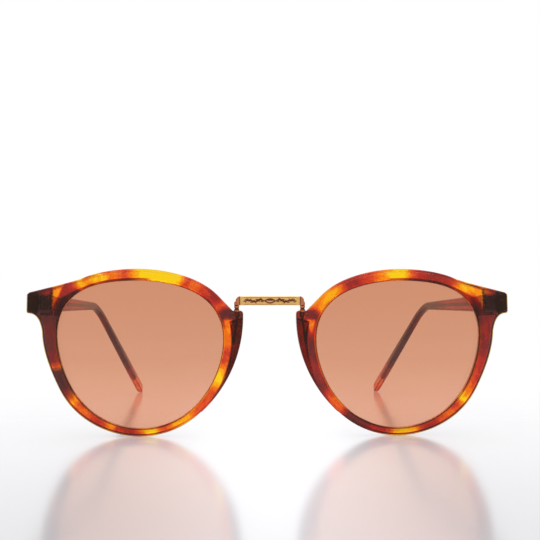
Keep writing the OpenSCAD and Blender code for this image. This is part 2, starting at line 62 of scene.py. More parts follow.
# %% [markdown]
# ## Turning arrays into meshes
#
# A shell is a closed surface: its points, its quads and the triangles that close its poles. Two
# kinds are enough. A tube is a row of closed rings with a pole at each end. A band closes on
# itself both ways, like a rim. The sign of the enclosed volume says whether the faces point
# outwards, so every shell is checked and turned round if it is inside out.

# %% Shells
def grid_quads(n, m):
    """Quads from each of n closed rings of m points to the next, and from the last to the first."""
    here = np.arange(n * m).reshape(n, m)
    over = np.roll(here, -1, 0)
    return np.stack([here, over, np.roll(over, -1, 1), np.roll(here, -1, 1)], -1)


def volume(shell):
    """Volume inside a shell: the sum over its triangles of a dot (b cross c), over six."""
    points, quads, tris = shell
    three = np.concatenate([quads[:, [0, 1, 2]], quads[:, [0, 2, 3]], tris])
    a, b, c = points[three[:, 0]], points[three[:, 1]], points[three[:, 2]]
    return float((a * np.cross(b, c)).sum() / 6)


def outward(shell):
    """The same shell with its faces turned round if they point inwards."""
    points, quads, tris = shell
    if volume(shell) < 0:
        return points, quads[:, ::-1], tris[:, ::-1]
    return shell


def tube(rings):
    """Closes rings, an array n by m by 3, with a pole in the middle of each end ring."""
    n, m, _ = rings.shape
    points = np.concatenate([rings.reshape(-1, 3), rings[[0, -1]].mean(1)])
    quads = grid_quads(n, m)
    first = np.stack([quads[0, :, 0], quads[0, :, 3], np.full(m, n * m)], -1)
    last = np.stack([quads[-1, :, 3], quads[-1, :, 0], np.full(m, n * m + 1)], -1)
    return outward((points, quads[:-1].reshape(-1, 4), np.concatenate([first, last])))


def band(rings):
    """Joins the last of the closed rings to the first, like a hoop."""
    quads = grid_quads(*rings.shape[:2])
    return outward((rings.reshape(-1, 3), quads.reshape(-1, 4), np.zeros((0, 3), int)))


def join(*shells):
    """Several shells as one, with the numbers of the later ones' points moved on."""
    starts = np.cumsum([0] + [len(s[0]) for s in shells])
    return (np.concatenate([s[0] for s in shells]),
            np.concatenate([s[1] + k for s, k in zip(shells, starts)]),
            np.concatenate([s[2] + k for s, k in zip(shells, starts)]))


def mirrored(shell):
    """The shell's mirror image across x = 0, with its faces kept outward."""
    points, quads, tris = shell
    return points * [-1, 1, 1], quads[:, ::-1], tris[:, ::-1]


def make_piece(node, shell, body, slot, material, sharp=38, others=(), **marks):
    """Makes the piece that stands for a node, in metres, and ties it to its body.

    A mark is a function of the points. Each of the others is a further material and a row of
    truths, one for each face, that says which faces take it.
    """
    points, quads, tris = shell
    mesh = bpy.data.meshes.new(f"{node}_look")
    mesh.from_pydata((points * MM).tolist(), [], quads.tolist() + tris.tolist())
    mesh.polygons.foreach_set("use_smooth", np.ones(len(mesh.polygons), bool))
    mesh.set_sharp_from_angle(angle=math.radians(sharp))
    for mark, find in marks.items():
        values = find(points).astype(np.float32)
        mesh.attributes.new(mark, "FLOAT", "POINT").data.foreach_set("value", values)
    taken = np.zeros(len(mesh.polygons), np.int32)
    for k, (finish, faces) in enumerate(((material, slice(None)), *others)):
        mesh.materials.append(finish)
        taken[faces] = k
    mesh.polygons.foreach_set("material_index", taken)
    piece = bpy.data.objects.new(mesh.name, mesh)
    bpy.context.scene.collection.objects.link(piece)
    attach(piece, body)
    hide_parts(node)
    off = np.abs([points.min(0), points.max(0)] - np.array(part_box(node)) / MM).max()
    print(f"{mesh.name}: {2 * len(quads) + len(tris)} triangles, {volume(shell):.1f} mm3,",
          f"box within {off:.2f} mm")


def make_pair(kind, shell, body, slot, material, **settings):
    """Makes the shell's mirror image for the wearer's right side, and the shell for the left."""
    for side, one in (("right", mirrored(shell)), ("left", shell)):
        home = f"temple_{side}" if body == "temple" else body
        make_piece(f"{kind}_{side}", one, home, slot, material, **settings)


print("helpers for shells and pieces are ready")

# %% [markdown]
# ## Angles and soft borders
#
# Nothing on a hand-finished frame ends in a hard step. A rounding, a change of width and the
# border of a patch of colour all use the same soft step, and a bump is the same soft bell.

# %% Angles and soft borders
def sin(a):
    """Sine of an angle in degrees."""
    return np.sin(np.radians(a))


def cos(a):
    """Cosine of an angle in degrees."""
    return np.cos(np.radians(a))


def away(a, at):
    """The angle from `at` to a, between -180 and 180."""
    return (a - at + 180) % 360 - 180


def ease(t):
    """3 t squared less 2 t cubed, with t held between 0 and 1: a soft step."""
    t = np.clip(t, 0, 1)
    return t * t * (3 - 2 * t)


def soft(t, width):
    """A soft step from 0 to 1 over the width, half of it on each side of t = 0."""
    return ease(t / width + 0.5)


def within(t, width):
    """1 where t is over 0, easing to 0 over the width below."""
    return ease(t / width + 1)


def near(a, at, half, fade):
    """1 within half degrees of the angle `at`, easing to 0 over the fade on both sides."""
    return within(half - np.abs(away(a, at)), fade)


def bell(t, spread):
    """A bump of height 1 at t = 0: e to minus the square of t over spread."""
    return np.exp(-(t / spread) ** 2)


print("a soft step at a quarter, a half and three quarters:", ease(np.array([0.25, 0.5, 0.75])))

# %% [markdown]
# ## The lens shape
#
# A round eye shape isn't a circle. The lower half is one, the brow side is flattened, and a
# shoulder stands out on each side above the middle. Each of these is a bell, given by its height,
# angle and spread, that is added to the circle's radius, so the outline never has a kink. The angle
# is 0 at the nose side, 90 at the brow, 180 at the temple side and 270 at the cheek.

# %% Radius of the lens opening and width of the rim
EYE_R = 22.8
EYE_BELLS = {"brow": (-2.9, 90, 60), "nose shoulder": (2.7, 26, 32), "temple shoulder": (3.75, 149, 32)}
RIM_W_TOP = 3.45
RIM_W_LOW = 2.4
RIM_THIN_AT = 290
RIM_GROWTH = 1.25
FLARE = 1.4
FLARE_FROM = 205
FLARE_TO = 160


def eye(a):
    """Radius of the lens opening at the angle a: the circle's, plus a bell for each named place."""
    return EYE_R + sum(height * bell(away(a, at), spread) for height, at, spread in EYE_BELLS.values())


def rim_w(a):
    """Width of the rim's face: thinnest at the cheek, wider at the brow, flared under the end piece."""
    a = np.asarray(a) % 360
    under_end = (a >= FLARE_TO) & (a <= FLARE_FROM)
    flare = FLARE * under_end * ease((FLARE_FROM - a) / (FLARE_FROM - FLARE_TO))
    grown = ease(RIM_GROWTH * (1 - cos(a - RIM_THIN_AT)))
    return RIM_W_LOW + (RIM_W_TOP - RIM_W_LOW) * grown + flare


def polar(a, r):
    """The point at the angle a and radius r on the lens plane: [towards the temple, up]."""
    return np.stack([-r * cos(a), r * sin(a)], -1)


turn = np.arange(0, 360, 1.0)
opening = polar(turn, eye(turn))
print("lens opening in mm:", np.ptp(opening, axis=0).round(2))

# %% [markdown]
# ## The curved front
#
# A front is cut from a sheet that is bent over a sphere, so that the lenses wrap a little round
# the face. The depth of a point behind the front plane is the sag of that sphere, plus a slight
# slant of each rim away from the nose. Where the pair stands comes from the hinge of the fixed
# frame: its axis lies a known step behind the end piece.

# %% Depth of the front surface, and where the pair stands
BASE_R = 132
FACE_FORM = 4
BRIDGE_W = 27
FRONT_W = 143
RIM_T = 3.8
END_H = 6.05
END_RISE = 13.45
END_T = 4.0
AXIS_BACK = 1.7


def face(p):
    """Depth at p: R less the root of (R squared - x squared - y squared), plus the slant."""
    x, y = p[..., 0], p[..., 1]
    return BASE_R - np.sqrt(BASE_R ** 2 - x ** 2 - y ** 2) + x * math.tan(math.radians(FACE_FORM))


hinge = {j["name"]: np.array(j["pos_m"]) / MM for j in frame["joints"]}["temple_left_fold"]
EYE_X = BRIDGE_W / 2 + (eye(turn) * cos(turn)).max()
EYE_Z = hinge[2] - END_RISE
END_X = FRONT_W / 2 - EYE_X
END_BACK = face(np.array([END_X, END_RISE])) + END_T
FRONT_Y = hinge[1] - AXIS_BACK - END_BACK


def place(p, depth):
    """The point p of the left lens plane, depth behind the front plane, in the pair's own frame."""
    return np.stack([EYE_X + p[..., 0], FRONT_Y + depth, EYE_Z + p[..., 1]], -1)


print(f"lens centre x {EYE_X:.2f}, z {EYE_Z:.2f}")
print(f"front plane y {FRONT_Y:.2f}, end piece back {END_BACK:.2f}")

# %% [markdown]
# ## Shader nodes
#
# A material is a tree of nodes that pass values on. These short functions add a node and set its
# inputs. An input takes either a value, which then holds all over the surface, or what another
# node gives, which may change from point to point.

# %% Short ways to add shader nodes
def linear(red, green, blue):
    """A colour given as 0 to 255 screen values, as the linear light that the shader wants."""
    c = np.array([red, green, blue]) / 255
    return (*np.where(c <= 0.04045, c / 12.92, ((c + 0.055) / 1.055) ** 2.4), 1.0)


def fill(tree, node, inputs):
    """Sets the node's inputs by name or number, each to a value or to what another node gives."""
    for key, value in inputs.items():
        if isinstance(value, bpy.types.NodeSocket):
            tree.links.new(value, node.inputs[key])
        else:
            node.inputs[key].default_value = value


def add(tree, kind, inputs=None, **settings):
    """A new node of that kind, with its settings and its inputs."""
    node = tree.nodes.new(kind)
    for key, value in settings.items():
        setattr(node, key, value)
    fill(tree, node, inputs or {})
    return node


def combine(tree, operation, first, second):
    """What the operation makes of two values."""
    return add(tree, "ShaderNodeMath", {0: first, 1: second}, operation=operation).outputs[0]


def noise(tree, where, scale, detail, distortion=0.0):
    """Noise over the coordinates, between 0 and 1; scale is in waves a metre."""
    inputs = {"Vector": where, "Scale": scale, "Detail": detail, "Distortion": distortion}
    return add(tree, "ShaderNodeTexNoise", inputs).outputs["Fac"]


def stretched(tree, where, scale, shift=(0, 0, 0)):
    """The coordinates times a scale and then shifted, both given for x, y and z."""
    inputs = {"Vector": where, "Scale": scale, "Location": shift}
    return add(tree, "ShaderNodeMapping", inputs).outputs[0]


def point_mark(tree, name):
    """The mark of that name, which each point of the mesh carries."""
    return add(tree, "ShaderNodeAttribute", attribute_name=name).outputs["Fac"]


def bump(tree, height, strength, distance):
    """Normals tilted as a surface of that height would be; distance is in metres."""
    inputs = {"Height": height, "Strength": strength, "Distance": distance}
    return add(tree, "ShaderNodeBump", inputs).outputs["Normal"]


def ramp(tree, value, stops):
    """A colour ramp over a value, from a list of (place, colour) stops."""
    node = add(tree, "ShaderNodeValToRGB", {0: value})
    node.color_ramp.interpolation = "EASE"
    while len(node.color_ramp.elements) < len(stops):
        node.color_ramp.elements.new(0.5)
    for element, (position, color) in zip(node.color_ramp.elements, stops):
        element.position = position
        element.color = color
    return node.outputs[0]


def ranged(tree, value, low, high, to_low, to_high):
    """A soft step over a value: to_low below low, to_high above high."""
    inputs = {"Value": value, "From Min": low, "From Max": high, "To Min": to_low, "To Max": to_high}
    return add(tree, "ShaderNodeMapRange", inputs, interpolation_type="SMOOTHSTEP").outputs["Result"]


def new_material(name):
    """A material, its tree, and the coordinates of the object that wears it."""
    material = bpy.data.materials.new(name)
    material.use_nodes = True
    tree = material.node_tree
    return material, tree, add(tree, "ShaderNodeTexCoord").outputs["Object"]


def finished(material, inputs):
    """The material with the inputs of its principled shader set."""
    fill(material.node_tree, material.node_tree.nodes["Principled BSDF"], inputs)
    return material


print("mid grey of the screen as linear light:", round(float(linear(128, 128, 128)[0]), 3))

# %% [markdown]
# ## Tortoise plastic
#
# Tortoise acetate is made by pressing chips of amber, orange, red and dark brown sheet together,
# so the colour runs through the whole thickness and light shines through it. A painted surface
# would look dead here. The plastic is therefore a clear, polished solid that refracts the pale
# studio, and its tint follows a mark on each point, from 0 for clear amber to 1 for almost black.
#
# Each of the seven colours holds over a part of that range, so that a chip has a border. Noise in
# the object's own coordinates bends the borders and speckles them, as the crushed chips do. A slow
# bump stands for the waves that hand polishing leaves. The noise is drawn out from front to back,
# so that a chip looks the same on both faces and its colour stays clean.

# %% Tortoise material
CHIPS = {
    "amber": (0.05, linear(255, 208, 0)),
    "orange": (0.23, linear(255, 144, 0)),
    "rust": (0.41, linear(234, 82, 24)),
    "red": (0.6, linear(186, 38, 30)),
    "brown": (0.8, linear(124, 33, 32)),
    "dark": (0.98, linear(88, 36, 36)),
    # The smoke colour, past 1, holds the painted shade of the end piece as well as the darkest chips.
    "smoke_and_shade": (1.2, linear(52, 31, 34))}
CHIP_HALF = 0.04
DARKEST = 1.25
CHIP_DRAW = 0.35
SHINE = 0.25
SHINE_TINT = (1.0, 0.6, 0.46, 1)
CHIP_WAVES = 200
CRUMB_WAVES = 800
SPECKLE_WAVES = 2600
POLISH_WAVES = 260
POLISH_STRENGTH = 0.12
POLISH_DEPTH = 0.0004


def tortoise_material(name, wander, speckle, clear, ior, rough):
    """Clear plastic whose tint is the point's mark, plus slow, middle and fine noise round zero."""
    material, tree, where = new_material(name)
    drawn = stretched(tree, where, (1, CHIP_DRAW, 1))
    total = point_mark(tree, "shade")
    waves = ((CHIP_WAVES, 2, 1.2, wander), (CRUMB_WAVES, 3, 1.5, wander / 2), (SPECKLE_WAVES, 2, 0, speckle))
    for scale, detail, distortion, weight in waves:
        wave = combine(tree, "SUBTRACT", noise(tree, drawn, scale, detail, distortion), 0.5)
        total = combine(tree, "ADD", total, combine(tree, "MULTIPLY", wave, weight))
    stops = [((at + k) / DARKEST, color) for at, color in CHIPS.values() for k in (-CHIP_HALF, CHIP_HALF)]
    return finished(material, {
        "Base Color": ramp(tree, combine(tree, "MULTIPLY", total, 1 / DARKEST), stops),
        "Transmission Weight": clear,
        "IOR": ior,
        "Roughness": rough,
        "Specular Tint": SHINE_TINT,
        "Specular IOR Level": SHINE,
        "Normal": bump(tree, noise(tree, drawn, POLISH_WAVES, 1), POLISH_STRENGTH, POLISH_DEPTH)})


tortoise = tortoise_material("tortoise_plastic", 0.42, 0.2, 0.98, 1.49, 0.03)
edge_plastic = tortoise_material("edge_plastic", 0.2, 0.1, 0.3, 1.49, 0.2)
ground_tortoise = tortoise_material("ground_tortoise", 0.1, 0.1, 0.92, 1.49, 0.4)
pad_plastic = tortoise_material("pad_plastic", 0.4, 0.12, 0.97, 1.2, 0.06)
print("tortoise colours:", *CHIPS)

# %% [markdown]
# ## Where the patches lie
#
# The eye reads a tortoise rim by its big patches, so their order round the rim matters more than
# their exact edges. Each rim has a short list of stations: an angle and how dark the plastic is
# there. Between stations the shade changes evenly, and the noise in the material breaks it up. A
# side of a rim is given by its middle angle, half its width and the fade at both its ends.

# %% Shade round a rim and along a temple
RIGHT_PATCHES = [
    (0, 0.5), (8, 0.38), (15, 0.36), (17.5, 0.9), (22, 0.9), (25, 0.6), (30, 0.38), (34, 0.6),
    (40, 0.62), (44, 0.4), (51, 0.35), (54, 0.55), (58, 0.5), (62, 0.2), (66, 0.0), (92, 0.05),
    (96, 0.3), (99, 0.5), (105, 0.45), (109, 0.36), (116, 0.36), (119, 0.12), (122, 0.12),
    (125, 0.36), (128, 0.15), (133, 0.12), (136, 0.5), (140, 0.62), (150, 0.68), (155, 0.88),
    (162, 0.92), (170, 0.8), (178, 0.85), (187, 0.7), (188.5, 0.3), (191, 0.3), (192.5, 0.97),
    (207, 1.0), (210, 0.8), (213.5, 0.2), (218, 0.25), (222, 0.42), (230, 0.33), (240, 0.6),
    (244, 0.45), (248, 0.28), (252, 0.35), (255, 0.6), (265, 0.6), (269, 0.38), (273, 0.15),
    (282, 0.12), (287, 0.42), (291, 0.42), (294, 0.2), (302, 0.27), (308, 0.27), (315, 0.45),
    (325, 0.45), (335, 0.34), (339, 0.05), (344, 0.05), (349, 0.45), (355, 0.55)]
LEFT_PATCHES = [
    (0, 0.88), (6, 0.93), (13, 0.58), (18, 0.8), (22, 0.75), (26, 0.3), (36, 0.2), (41, 0.15),
    (45, 0.4), (50, 0.58), (60, 0.66), (68, 0.5), (75, 0.36), (80, 0.24), (86, 0.15), (90, 0.0),
    (95, 0.08), (99, 0.42), (104, 0.6), (120, 0.68), (126, 0.58), (129, 0.38), (134, 0.25),
    (138, 0.1), (145, 0.2), (148.5, 0.4), (152, 0.7), (158, 0.8), (166, 0.65), (178, 0.75),
    (188, 0.6), (204, 0.5), (210, 0.35), (214, 0.0), (216, 0.05), (219, 0.4), (226, 0.5),
    (231, 0.4), (236, 0.36), (241, 0.66), (253, 0.66), (257, 0.45), (260, 0.22), (267, 0.18),
    (271, 0.3), (275, 0.5), (282, 0.63), (290, 0.6), (295, 0.8), (311, 0.78), (315, 0.45),
    (321, 0.42), (326, 0.55), (331, 0.66), (335, 0.86), (341, 0.7), (346, 0.68), (354, 0.84)]
TEMPLE_PATCHES = [
    (0, 0.6), (14, 0.7), (22, 0.55), (34, 0.62), (44, 0.5), (58, 0.65), (70, 0.8), (84, 0.8),
    (90, 0.62), (96, 0.8), (106, 0.8), (111, 0.6), (116, 0.36), (140, 0.34)]
MIDDLE_SHADE = 0.45
CONTRAST = 1.15
NOSE_SIDE = (-12, 32, 15)
LEAN = 3
LEAN_DEEP = 1.5
STREAK = 0.08
CRISP = 0.3
PLAIN = 0.4
SOFT = 0.5
# Painted shade on the end piece, where the temple and its hinge behind it stop the light.
DARK_END_W = 7.9
DARK_END_INSET = 0.55
DARK_END_SHADE = 1.3
VEE_W = 2.4
VEE_DROP = 5.2
VEE_EDGE = 0.6
VEE_SHADE = 0.22
# Painted shade on the strip of rim in front of the nose pad, for the dark pad behind it.
NOSE_STRIP = 2.35
NOSE_STRIP_FROM = -38
NOSE_STRIP_EASE = 6
RIGHT_STRIP_SHADE = 0.98
LEFT_STRIP_SHADE = 0.8
GLOW_IN = 2.6
GLOW_W = 1.3
GLOW_FROM = 8.7
GLOW_TO = 3.8
GLOW_TOP_EDGE = 0.9
GLOW_TAIL = 2
GLOW_SHADE = 0.32
# Painted light on a line beside the lens along the nose side, as if the backlight shone through the thin
# edge.
NOSE_LINE_W = 0.35
NOSE_LINE_SHADE = 0.2
TONGUE_W = 0.85
TONGUE_OVER = 1
TONGUE_SHADE = 0.25


def stations(at, patches, period=None):
    """Shade at each place: straight lines between the stations, with a little more contrast."""
    places, shades = np.array(patches).T
    return np.interp(at, places, MIDDLE_SHADE + CONTRAST * (shades - MIDDLE_SHADE), period=period)


def nose_share(a):
    """1 along the nose side, easing to 0 at the notch and at the cheek."""
    return near(a, *NOSE_SIDE)


def rim_shade(points, patches, strip_shade, extra):
    """Shade of a rim's points by their angle round the lens, with leaning borders, then six places.

    The end piece gets painted shade, a dark block where the temple and hinge behind it stop the
    light, with a light wedge beside it. The strip in front of the pad gets painted shade for the
    dark pad behind it, and round the bridge leg the plastic is light again, with a light wedge
    beside the leg that narrows downwards. A line beside the lens along the nose side gets painted
    light.
    """
    across = np.abs(points[:, 0]) - EYE_X
    deep = points[:, 1]
    up = points[:, 2] - EYE_Z
    r = np.hypot(across, up)
    a = np.degrees(np.arctan2(up, -across))
    beyond = r - eye(a)
    # Inside a sine, the angle a counts in radians a degree and a length in radians a millimetre.
    lean = LEAN * np.sin(0.23 * a) * np.sin(0.9 * beyond) + LEAN_DEEP * np.sin(0.9 * deep)
    streak = STREAK * np.sin(2.6 * r + 0.9 * deep + 0.14 * a + 1.2 * np.sin(0.09 * a))
    shade = stations(a + lean, patches, 360) + streak
    inward = END_X - DARK_END_W - across
    vee_w = VEE_W * (1 - (END_TOP - up) / VEE_DROP)
    glow_w = GLOW_W * np.clip((up - GLOW_TO) / (GLOW_FROM - GLOW_TO), 0, 1)
    from_leg = across - leg_foot[0]
    # Painted shade on the end piece and on the strip in front of the pad, and painted light on the line
    # beside the lens along the nose side.
    places = (
        (DARK_END_SHADE, soft(-inward, CRISP) * ease((END_TOP - DARK_END_INSET - up) / PLAIN)
         * ease((up - END_LOW) / PLAIN)),
        (VEE_SHADE, soft(inward, CRISP) * soft(vee_w - inward, VEE_EDGE)),
        (strip_shade, soft(beyond - NOSE_STRIP, SOFT) * ease((a - NOSE_STRIP_FROM) / NOSE_STRIP_EASE)
         * soft(BOSS_RISE - up, SOFT) * (across < 0)),
        (GLOW_SHADE, soft(glow_w - np.abs(from_leg - GLOW_IN), SOFT)
         * ease((up - GLOW_TO) / GLOW_TAIL) * soft(GLOW_FROM - up, GLOW_TOP_EDGE)),
        (NOSE_LINE_SHADE, nose_share(a) * soft(NOSE_LINE_W - beyond, CRISP)),
        (TONGUE_SHADE, ease((TONGUE_W - np.abs(from_leg)) / PLAIN) * soft(up - leg_foot[1], SOFT)
         * (up < BOSS_RISE + TONGUE_OVER)))
    for place_shade, share in places:
        shade = shade + (place_shade - shade) * share
    return shade + extra


print("patches on the right rim:", len(RIGHT_PATCHES), "and on the left:", len(LEFT_PATCHES))

# %% [markdown]
# ## The rims
#
# Each rim, its end piece and its nose boss are milled from one sheet. The outline runs round the
# brow, along the sloping top edge to the end piece, back under it in a sweep, round the cheek, and
# up the nose side to the boss and the notch beside it.
#
# At each outline point a section runs from the lens groove, over the back, round the outer edge
# and over the front. The outer edges are rounded along the outline's own normal, so that they stay
# even where the outline turns sharply. Behind the end piece the back steps to a flat block that
# the temple closes against.

# %% The rim's outline
CORNER_R = 0.8
END_SLOPE = 13
BROW_FROM = 35
BROW_TO = 131
BROW_EASE = 4
FLARE_END = 170
SWEEP_BEND = np.array([0.8, 5.2])
NOSE_FROM = 315
NOSE_GAP = 15.4
NOSE_ARC_R = 37.5
NOSE_ARC_RISE = 9.5
BOSS_RISE = 11.35
BOSS_W = 3.1
BOSS_R = 1.0
LEG_INSET = 1.9
LEG_SINK = 2.0
SKIN = 0.02
END_TOP = END_RISE + END_H / 2
END_LOW = END_RISE - END_H / 2
BOSS_X = NOSE_GAP / 2 - EYE_X
ARC_X = BOSS_X + NOSE_ARC_R
NOSE_TOP = math.degrees(math.asin((BOSS_RISE - BOSS_R) / math.hypot(BOSS_X, BOSS_RISE)))
leg_foot = np.array([BOSS_X + LEG_INSET, BOSS_RISE - LEG_SINK])


def nose_side(a):
    """Where the ray of angle a leaves the round nose side: b plus the root of (b squared plus c)."""
    b = polar(a, 1.0) @ [ARC_X, NOSE_ARC_RISE]
    return b + np.sqrt(b ** 2 + NOSE_ARC_R ** 2 - ARC_X ** 2 - NOSE_ARC_RISE ** 2)


def bend(a, b, c, n):
    """n points from a to c, pulled by b: (1-t) squared a, plus 2t(1-t) b, plus t squared c."""
    t = (np.arange(n) + 1)[:, None] / n
    return (1 - t) ** 2 * a + 2 * t * (1 - t) * b + t ** 2 * c


def arc(centre, r, start, end, n):
    """n points on the circle of radius r about the centre, between two angles."""
    a = np.linspace(start, end, n)
    return np.array(centre) + r * np.stack([cos(a), sin(a)], -1)


def line(a, b, n):
    """n even points from a to b, without the first and the last."""
    t = np.linspace(0, 1, n + 2)[1:-1, None]
    return (1 - t) * np.array(a) + t * np.array(b)


def rim_edge(a):
    """The rim's outer edge at the angle a."""
    return polar(a, eye(a) + rim_w(a))


slope = math.tan(math.radians(END_SLOPE))
end_tip = np.array([END_X - CORNER_R, END_TOP + CORNER_R * slope])
brow_x = rim_edge(BROW_TO)[0] + BROW_EASE
brow_corner = np.array([brow_x, end_tip[1] + (end_tip[0] - brow_x) * slope])
under_tip = np.array([END_X - CORNER_R, END_LOW])
nose_corner = np.array([BOSS_X + BOSS_R, BOSS_RISE - BOSS_R])
notch = np.array([BOSS_X + BOSS_W, BOSS_RISE])
nose_turn = np.arange(NOSE_FROM, 360 + NOSE_TOP - 0.5, 1.0)
end_piece = np.concatenate([
    bend(rim_edge(BROW_TO), brow_corner, end_tip, 30),
    arc([END_X - CORNER_R, END_TOP - CORNER_R], CORNER_R, 66, 0, 6),
    line([END_X, END_TOP - CORNER_R], [END_X, END_LOW + CORNER_R], 14),
    arc([END_X - CORNER_R, END_LOW + CORNER_R], CORNER_R, 0, -90, 7),
    bend(under_tip, rim_edge(FLARE_END) + SWEEP_BEND, rim_edge(FLARE_END), 34)])
outline = np.concatenate([
    rim_edge(np.arange(BROW_FROM, BROW_TO + 0.5, 1.0)),
    end_piece,
    rim_edge(np.arange(FLARE_END + 1, NOSE_FROM - 0.5, 1.0)),
    polar(nose_turn, np.maximum(eye(nose_turn) + rim_w(nose_turn), nose_side(nose_turn))),
    arc(nose_corner, BOSS_R, 180, 90, 9),
    line([nose_corner[0], BOSS_RISE], notch, 8),
    [notch],
    line(notch, rim_edge(BROW_FROM), 10)])
along_edge = np.roll(outline, -1, 0) - np.roll(outline, 1, 0)
normals = np.stack([-along_edge[:, 1], along_edge[:, 0]], -1)
normals = normals / np.linalg.norm(normals, axis=1, keepdims=True)
outline = outline - normals * SKIN
section_turn = np.degrees(np.arctan2(outline[:, 1], -outline[:, 0])) % 360
end_from = BROW_TO - BROW_FROM + 1
end_turn = np.linspace(BROW_TO, FLARE_END, len(end_piece) + 1)[1:]
section_turn[end_from:end_from + len(end_piece)] = end_turn
print("outline points:", len(outline), "size in mm:", np.ptp(outline, axis=0).round(2))

# %% The rim's section, carried round the outline
GROOVE_D = 0.6
GROOVE_W = 0.6
GROOVE_D_NOSE = 0.26
INNER_ROUND = 0.22
INNER_ROUND_NOSE = 0.06
EDGE_ROUND = 0.75
PAD_EDGE_ROUND = 0.2
PAD_SIDE = (-10, 60, 6)
PAD_SIDE_UNDER = 0.3
CROWN = 0.1
BLOCK_W = 7.3
BLOCK_EASE = 0.65
METAL_PROUD = 0.04
GROUND_SHADE = -0.4
# Painted light on the outermost rounding, from the end piece round the cheek, as if light shone through the
# thin edge.
EDGE_TINT = -1.3
EDGE_TINT_FROM = 144
EDGE_TINT_IN = 3
EDGE_TINT_TO = 300
EDGE_TINT_OUT = 40
END_EDGE = 0.4
# Painted shade on the rounding inside the outer edge, strongest at the cheek.
EDGE_DARK = 0.55
EDGE_DARK_LEAST = 0.15
EDGE_DARK_SIDE = (222, 70, 20)
BROW_SIDE = (120, 32, 14)
BROW_MATT_HALF = 38
# Painted shade beside the lens: a band along the brow, and a thin line elsewhere except along the nose side.
LENS_SIDE_DARK = 0.45
LENS_SIDE_THIN = 0.35
LENS_SIDE_W = 0.26
LENS_SIDE_EDGE = 0.1
BACK_ROWS = 34
FRONT_ROWS = 16
INNER_TURNS = np.linspace(0, 90, 4)
OUTER_TURNS = np.linspace(0, 90, 6)
# Matt faces are the three from the section's outermost row, and those from the row beside the lens,
# which starts a little further out along the brow.
OUTERMOST_FROM = 45
OUTERMOST_FACES = 3
BROW_LINE_FROM = 62
BESIDE_LENS_FROM = 65


def groove_depth(a):
    """Depth of the lens groove: less along the nose side, where the rim looks clear to the lens."""
    return GROOVE_D + (GROOVE_D_NOSE - GROOVE_D) * nose_share(a)


def on_block(p):
    """1 on the flat block behind the end piece, easing to 0 beyond its inner, upper and lower edges."""
    return (within(p[..., 0] - END_X + BLOCK_W, BLOCK_EASE) * within(END_TOP - p[..., 1], BLOCK_EASE)
            * within(p[..., 1] - END_LOW, BLOCK_EASE))


def back(p):
    """Depth of the back at the point p: the sheet's thickness behind the front, or the block's back."""
    sheet = face(p) + RIM_T
    return sheet + on_block(p) * (END_BACK - METAL_PROUD - sheet)


def rounded(edge, inward, r, flat, side, turns, shades):
    """Rows round an edge: at each turn 1 - cos in from the edge, and 1 - sin in from the flat.

    The side is 1 on the front, where inside means deeper, and -1 on the back.
    """
    return [(edge + inward * (r * (1 - cos(t)))[:, None], flat + side * r * (1 - sin(t)), shade)
            for t, shade in zip(turns, shades)]


def rim_rings():
    """The section at every outline point, from the groove round to the groove, and its extra shade.

    The outermost line of the end piece and of the cheek gets painted light, as if light shone
    through the thin edge, and the rounding inside it gets painted shade. Beside the lens the edge
    gets painted shade, except along the nose side.
    """
    a = section_turn
    inner = polar(a, eye(a))
    out = (outline - inner) / np.linalg.norm(outline - inner, axis=1, keepdims=True)
    beside_pad = near(a, *PAD_SIDE) * (outline[:, 1] < BOSS_RISE - PAD_SIDE_UNDER)
    on_end = within(outline[:, 0] - END_X, END_EDGE)
    to_brow = near(a, *BROW_SIDE)
    inner_round = INNER_ROUND + (INNER_ROUND_NOSE - INNER_ROUND) * nose_share(a)
    back_round = EDGE_ROUND + (PAD_EDGE_ROUND - EDGE_ROUND) * beside_pad
    front_round = np.full(len(a), EDGE_ROUND)
    # Painted shade on both outer roundings, and painted light on the outermost front rows.
    outer_side = EDGE_DARK * (EDGE_DARK_LEAST + (1 - EDGE_DARK_LEAST) * near(a, *EDGE_DARK_SIDE))
    tint = EDGE_TINT * ease((a - EDGE_TINT_FROM) / EDGE_TINT_IN) * ease((EDGE_TINT_TO - a) / EDGE_TINT_OUT)
    tints = (tint, tint, tint, tint * (1 + on_end) / 2, outer_side + tint * on_end / 2, outer_side)
    # Painted shade beside the lens, on the back and front rows and on the inner rounding.
    brow_dark = LENS_SIDE_DARK * to_brow
    lens_side = brow_dark + LENS_SIDE_THIN * (1 - to_brow) * (1 - nose_share(a))
    start = inner + out * inner_round[:, None]
    back_end = outline - normals * back_round[:, None]
    front_end = outline - normals * EDGE_ROUND
    rows = [(inner + out * share * groove_depth(a)[:, None], face(inner) + RIM_T / 2 + off, GROUND_SHADE)
            for share, off in ((0, -GROOVE_W), (1, 0), (0, GROOVE_W))]
    rows += rounded(inner, out, inner_round, face(inner) + RIM_T, -1, INNER_TURNS, 4 * [brow_dark])
    for t in np.linspace(0, 1, BACK_ROWS)[1:-1]:
        p = start + (back_end - start) * t
        rows.append((p, back(p), 0))
    rows += rounded(outline, -normals, back_round, back(outline), -1, OUTER_TURNS[::-1], 6 * [outer_side])
    rows += rounded(outline, -normals, front_round, face(outline) + CROWN, 1, OUTER_TURNS, tints)
    for t in np.linspace(1, 0, FRONT_ROWS)[1:-1]:
        p = start + (front_end - start) * t
        shade = brow_dark * ease((LENS_SIDE_W - t) / LENS_SIDE_EDGE)
        rows.append((p, face(p) + CROWN * (2 * t - 1) ** 2, shade))
    rows += rounded(inner, out, inner_round, face(inner) + CROWN, 1, INNER_TURNS[::-1], 4 * [lens_side])
    rings = np.stack([place(p, depth) for p, depth, _ in rows], 1)
    shades = np.stack([np.broadcast_to(shade, len(outline)) for _, _, shade in rows], 1)
    return rings, shades


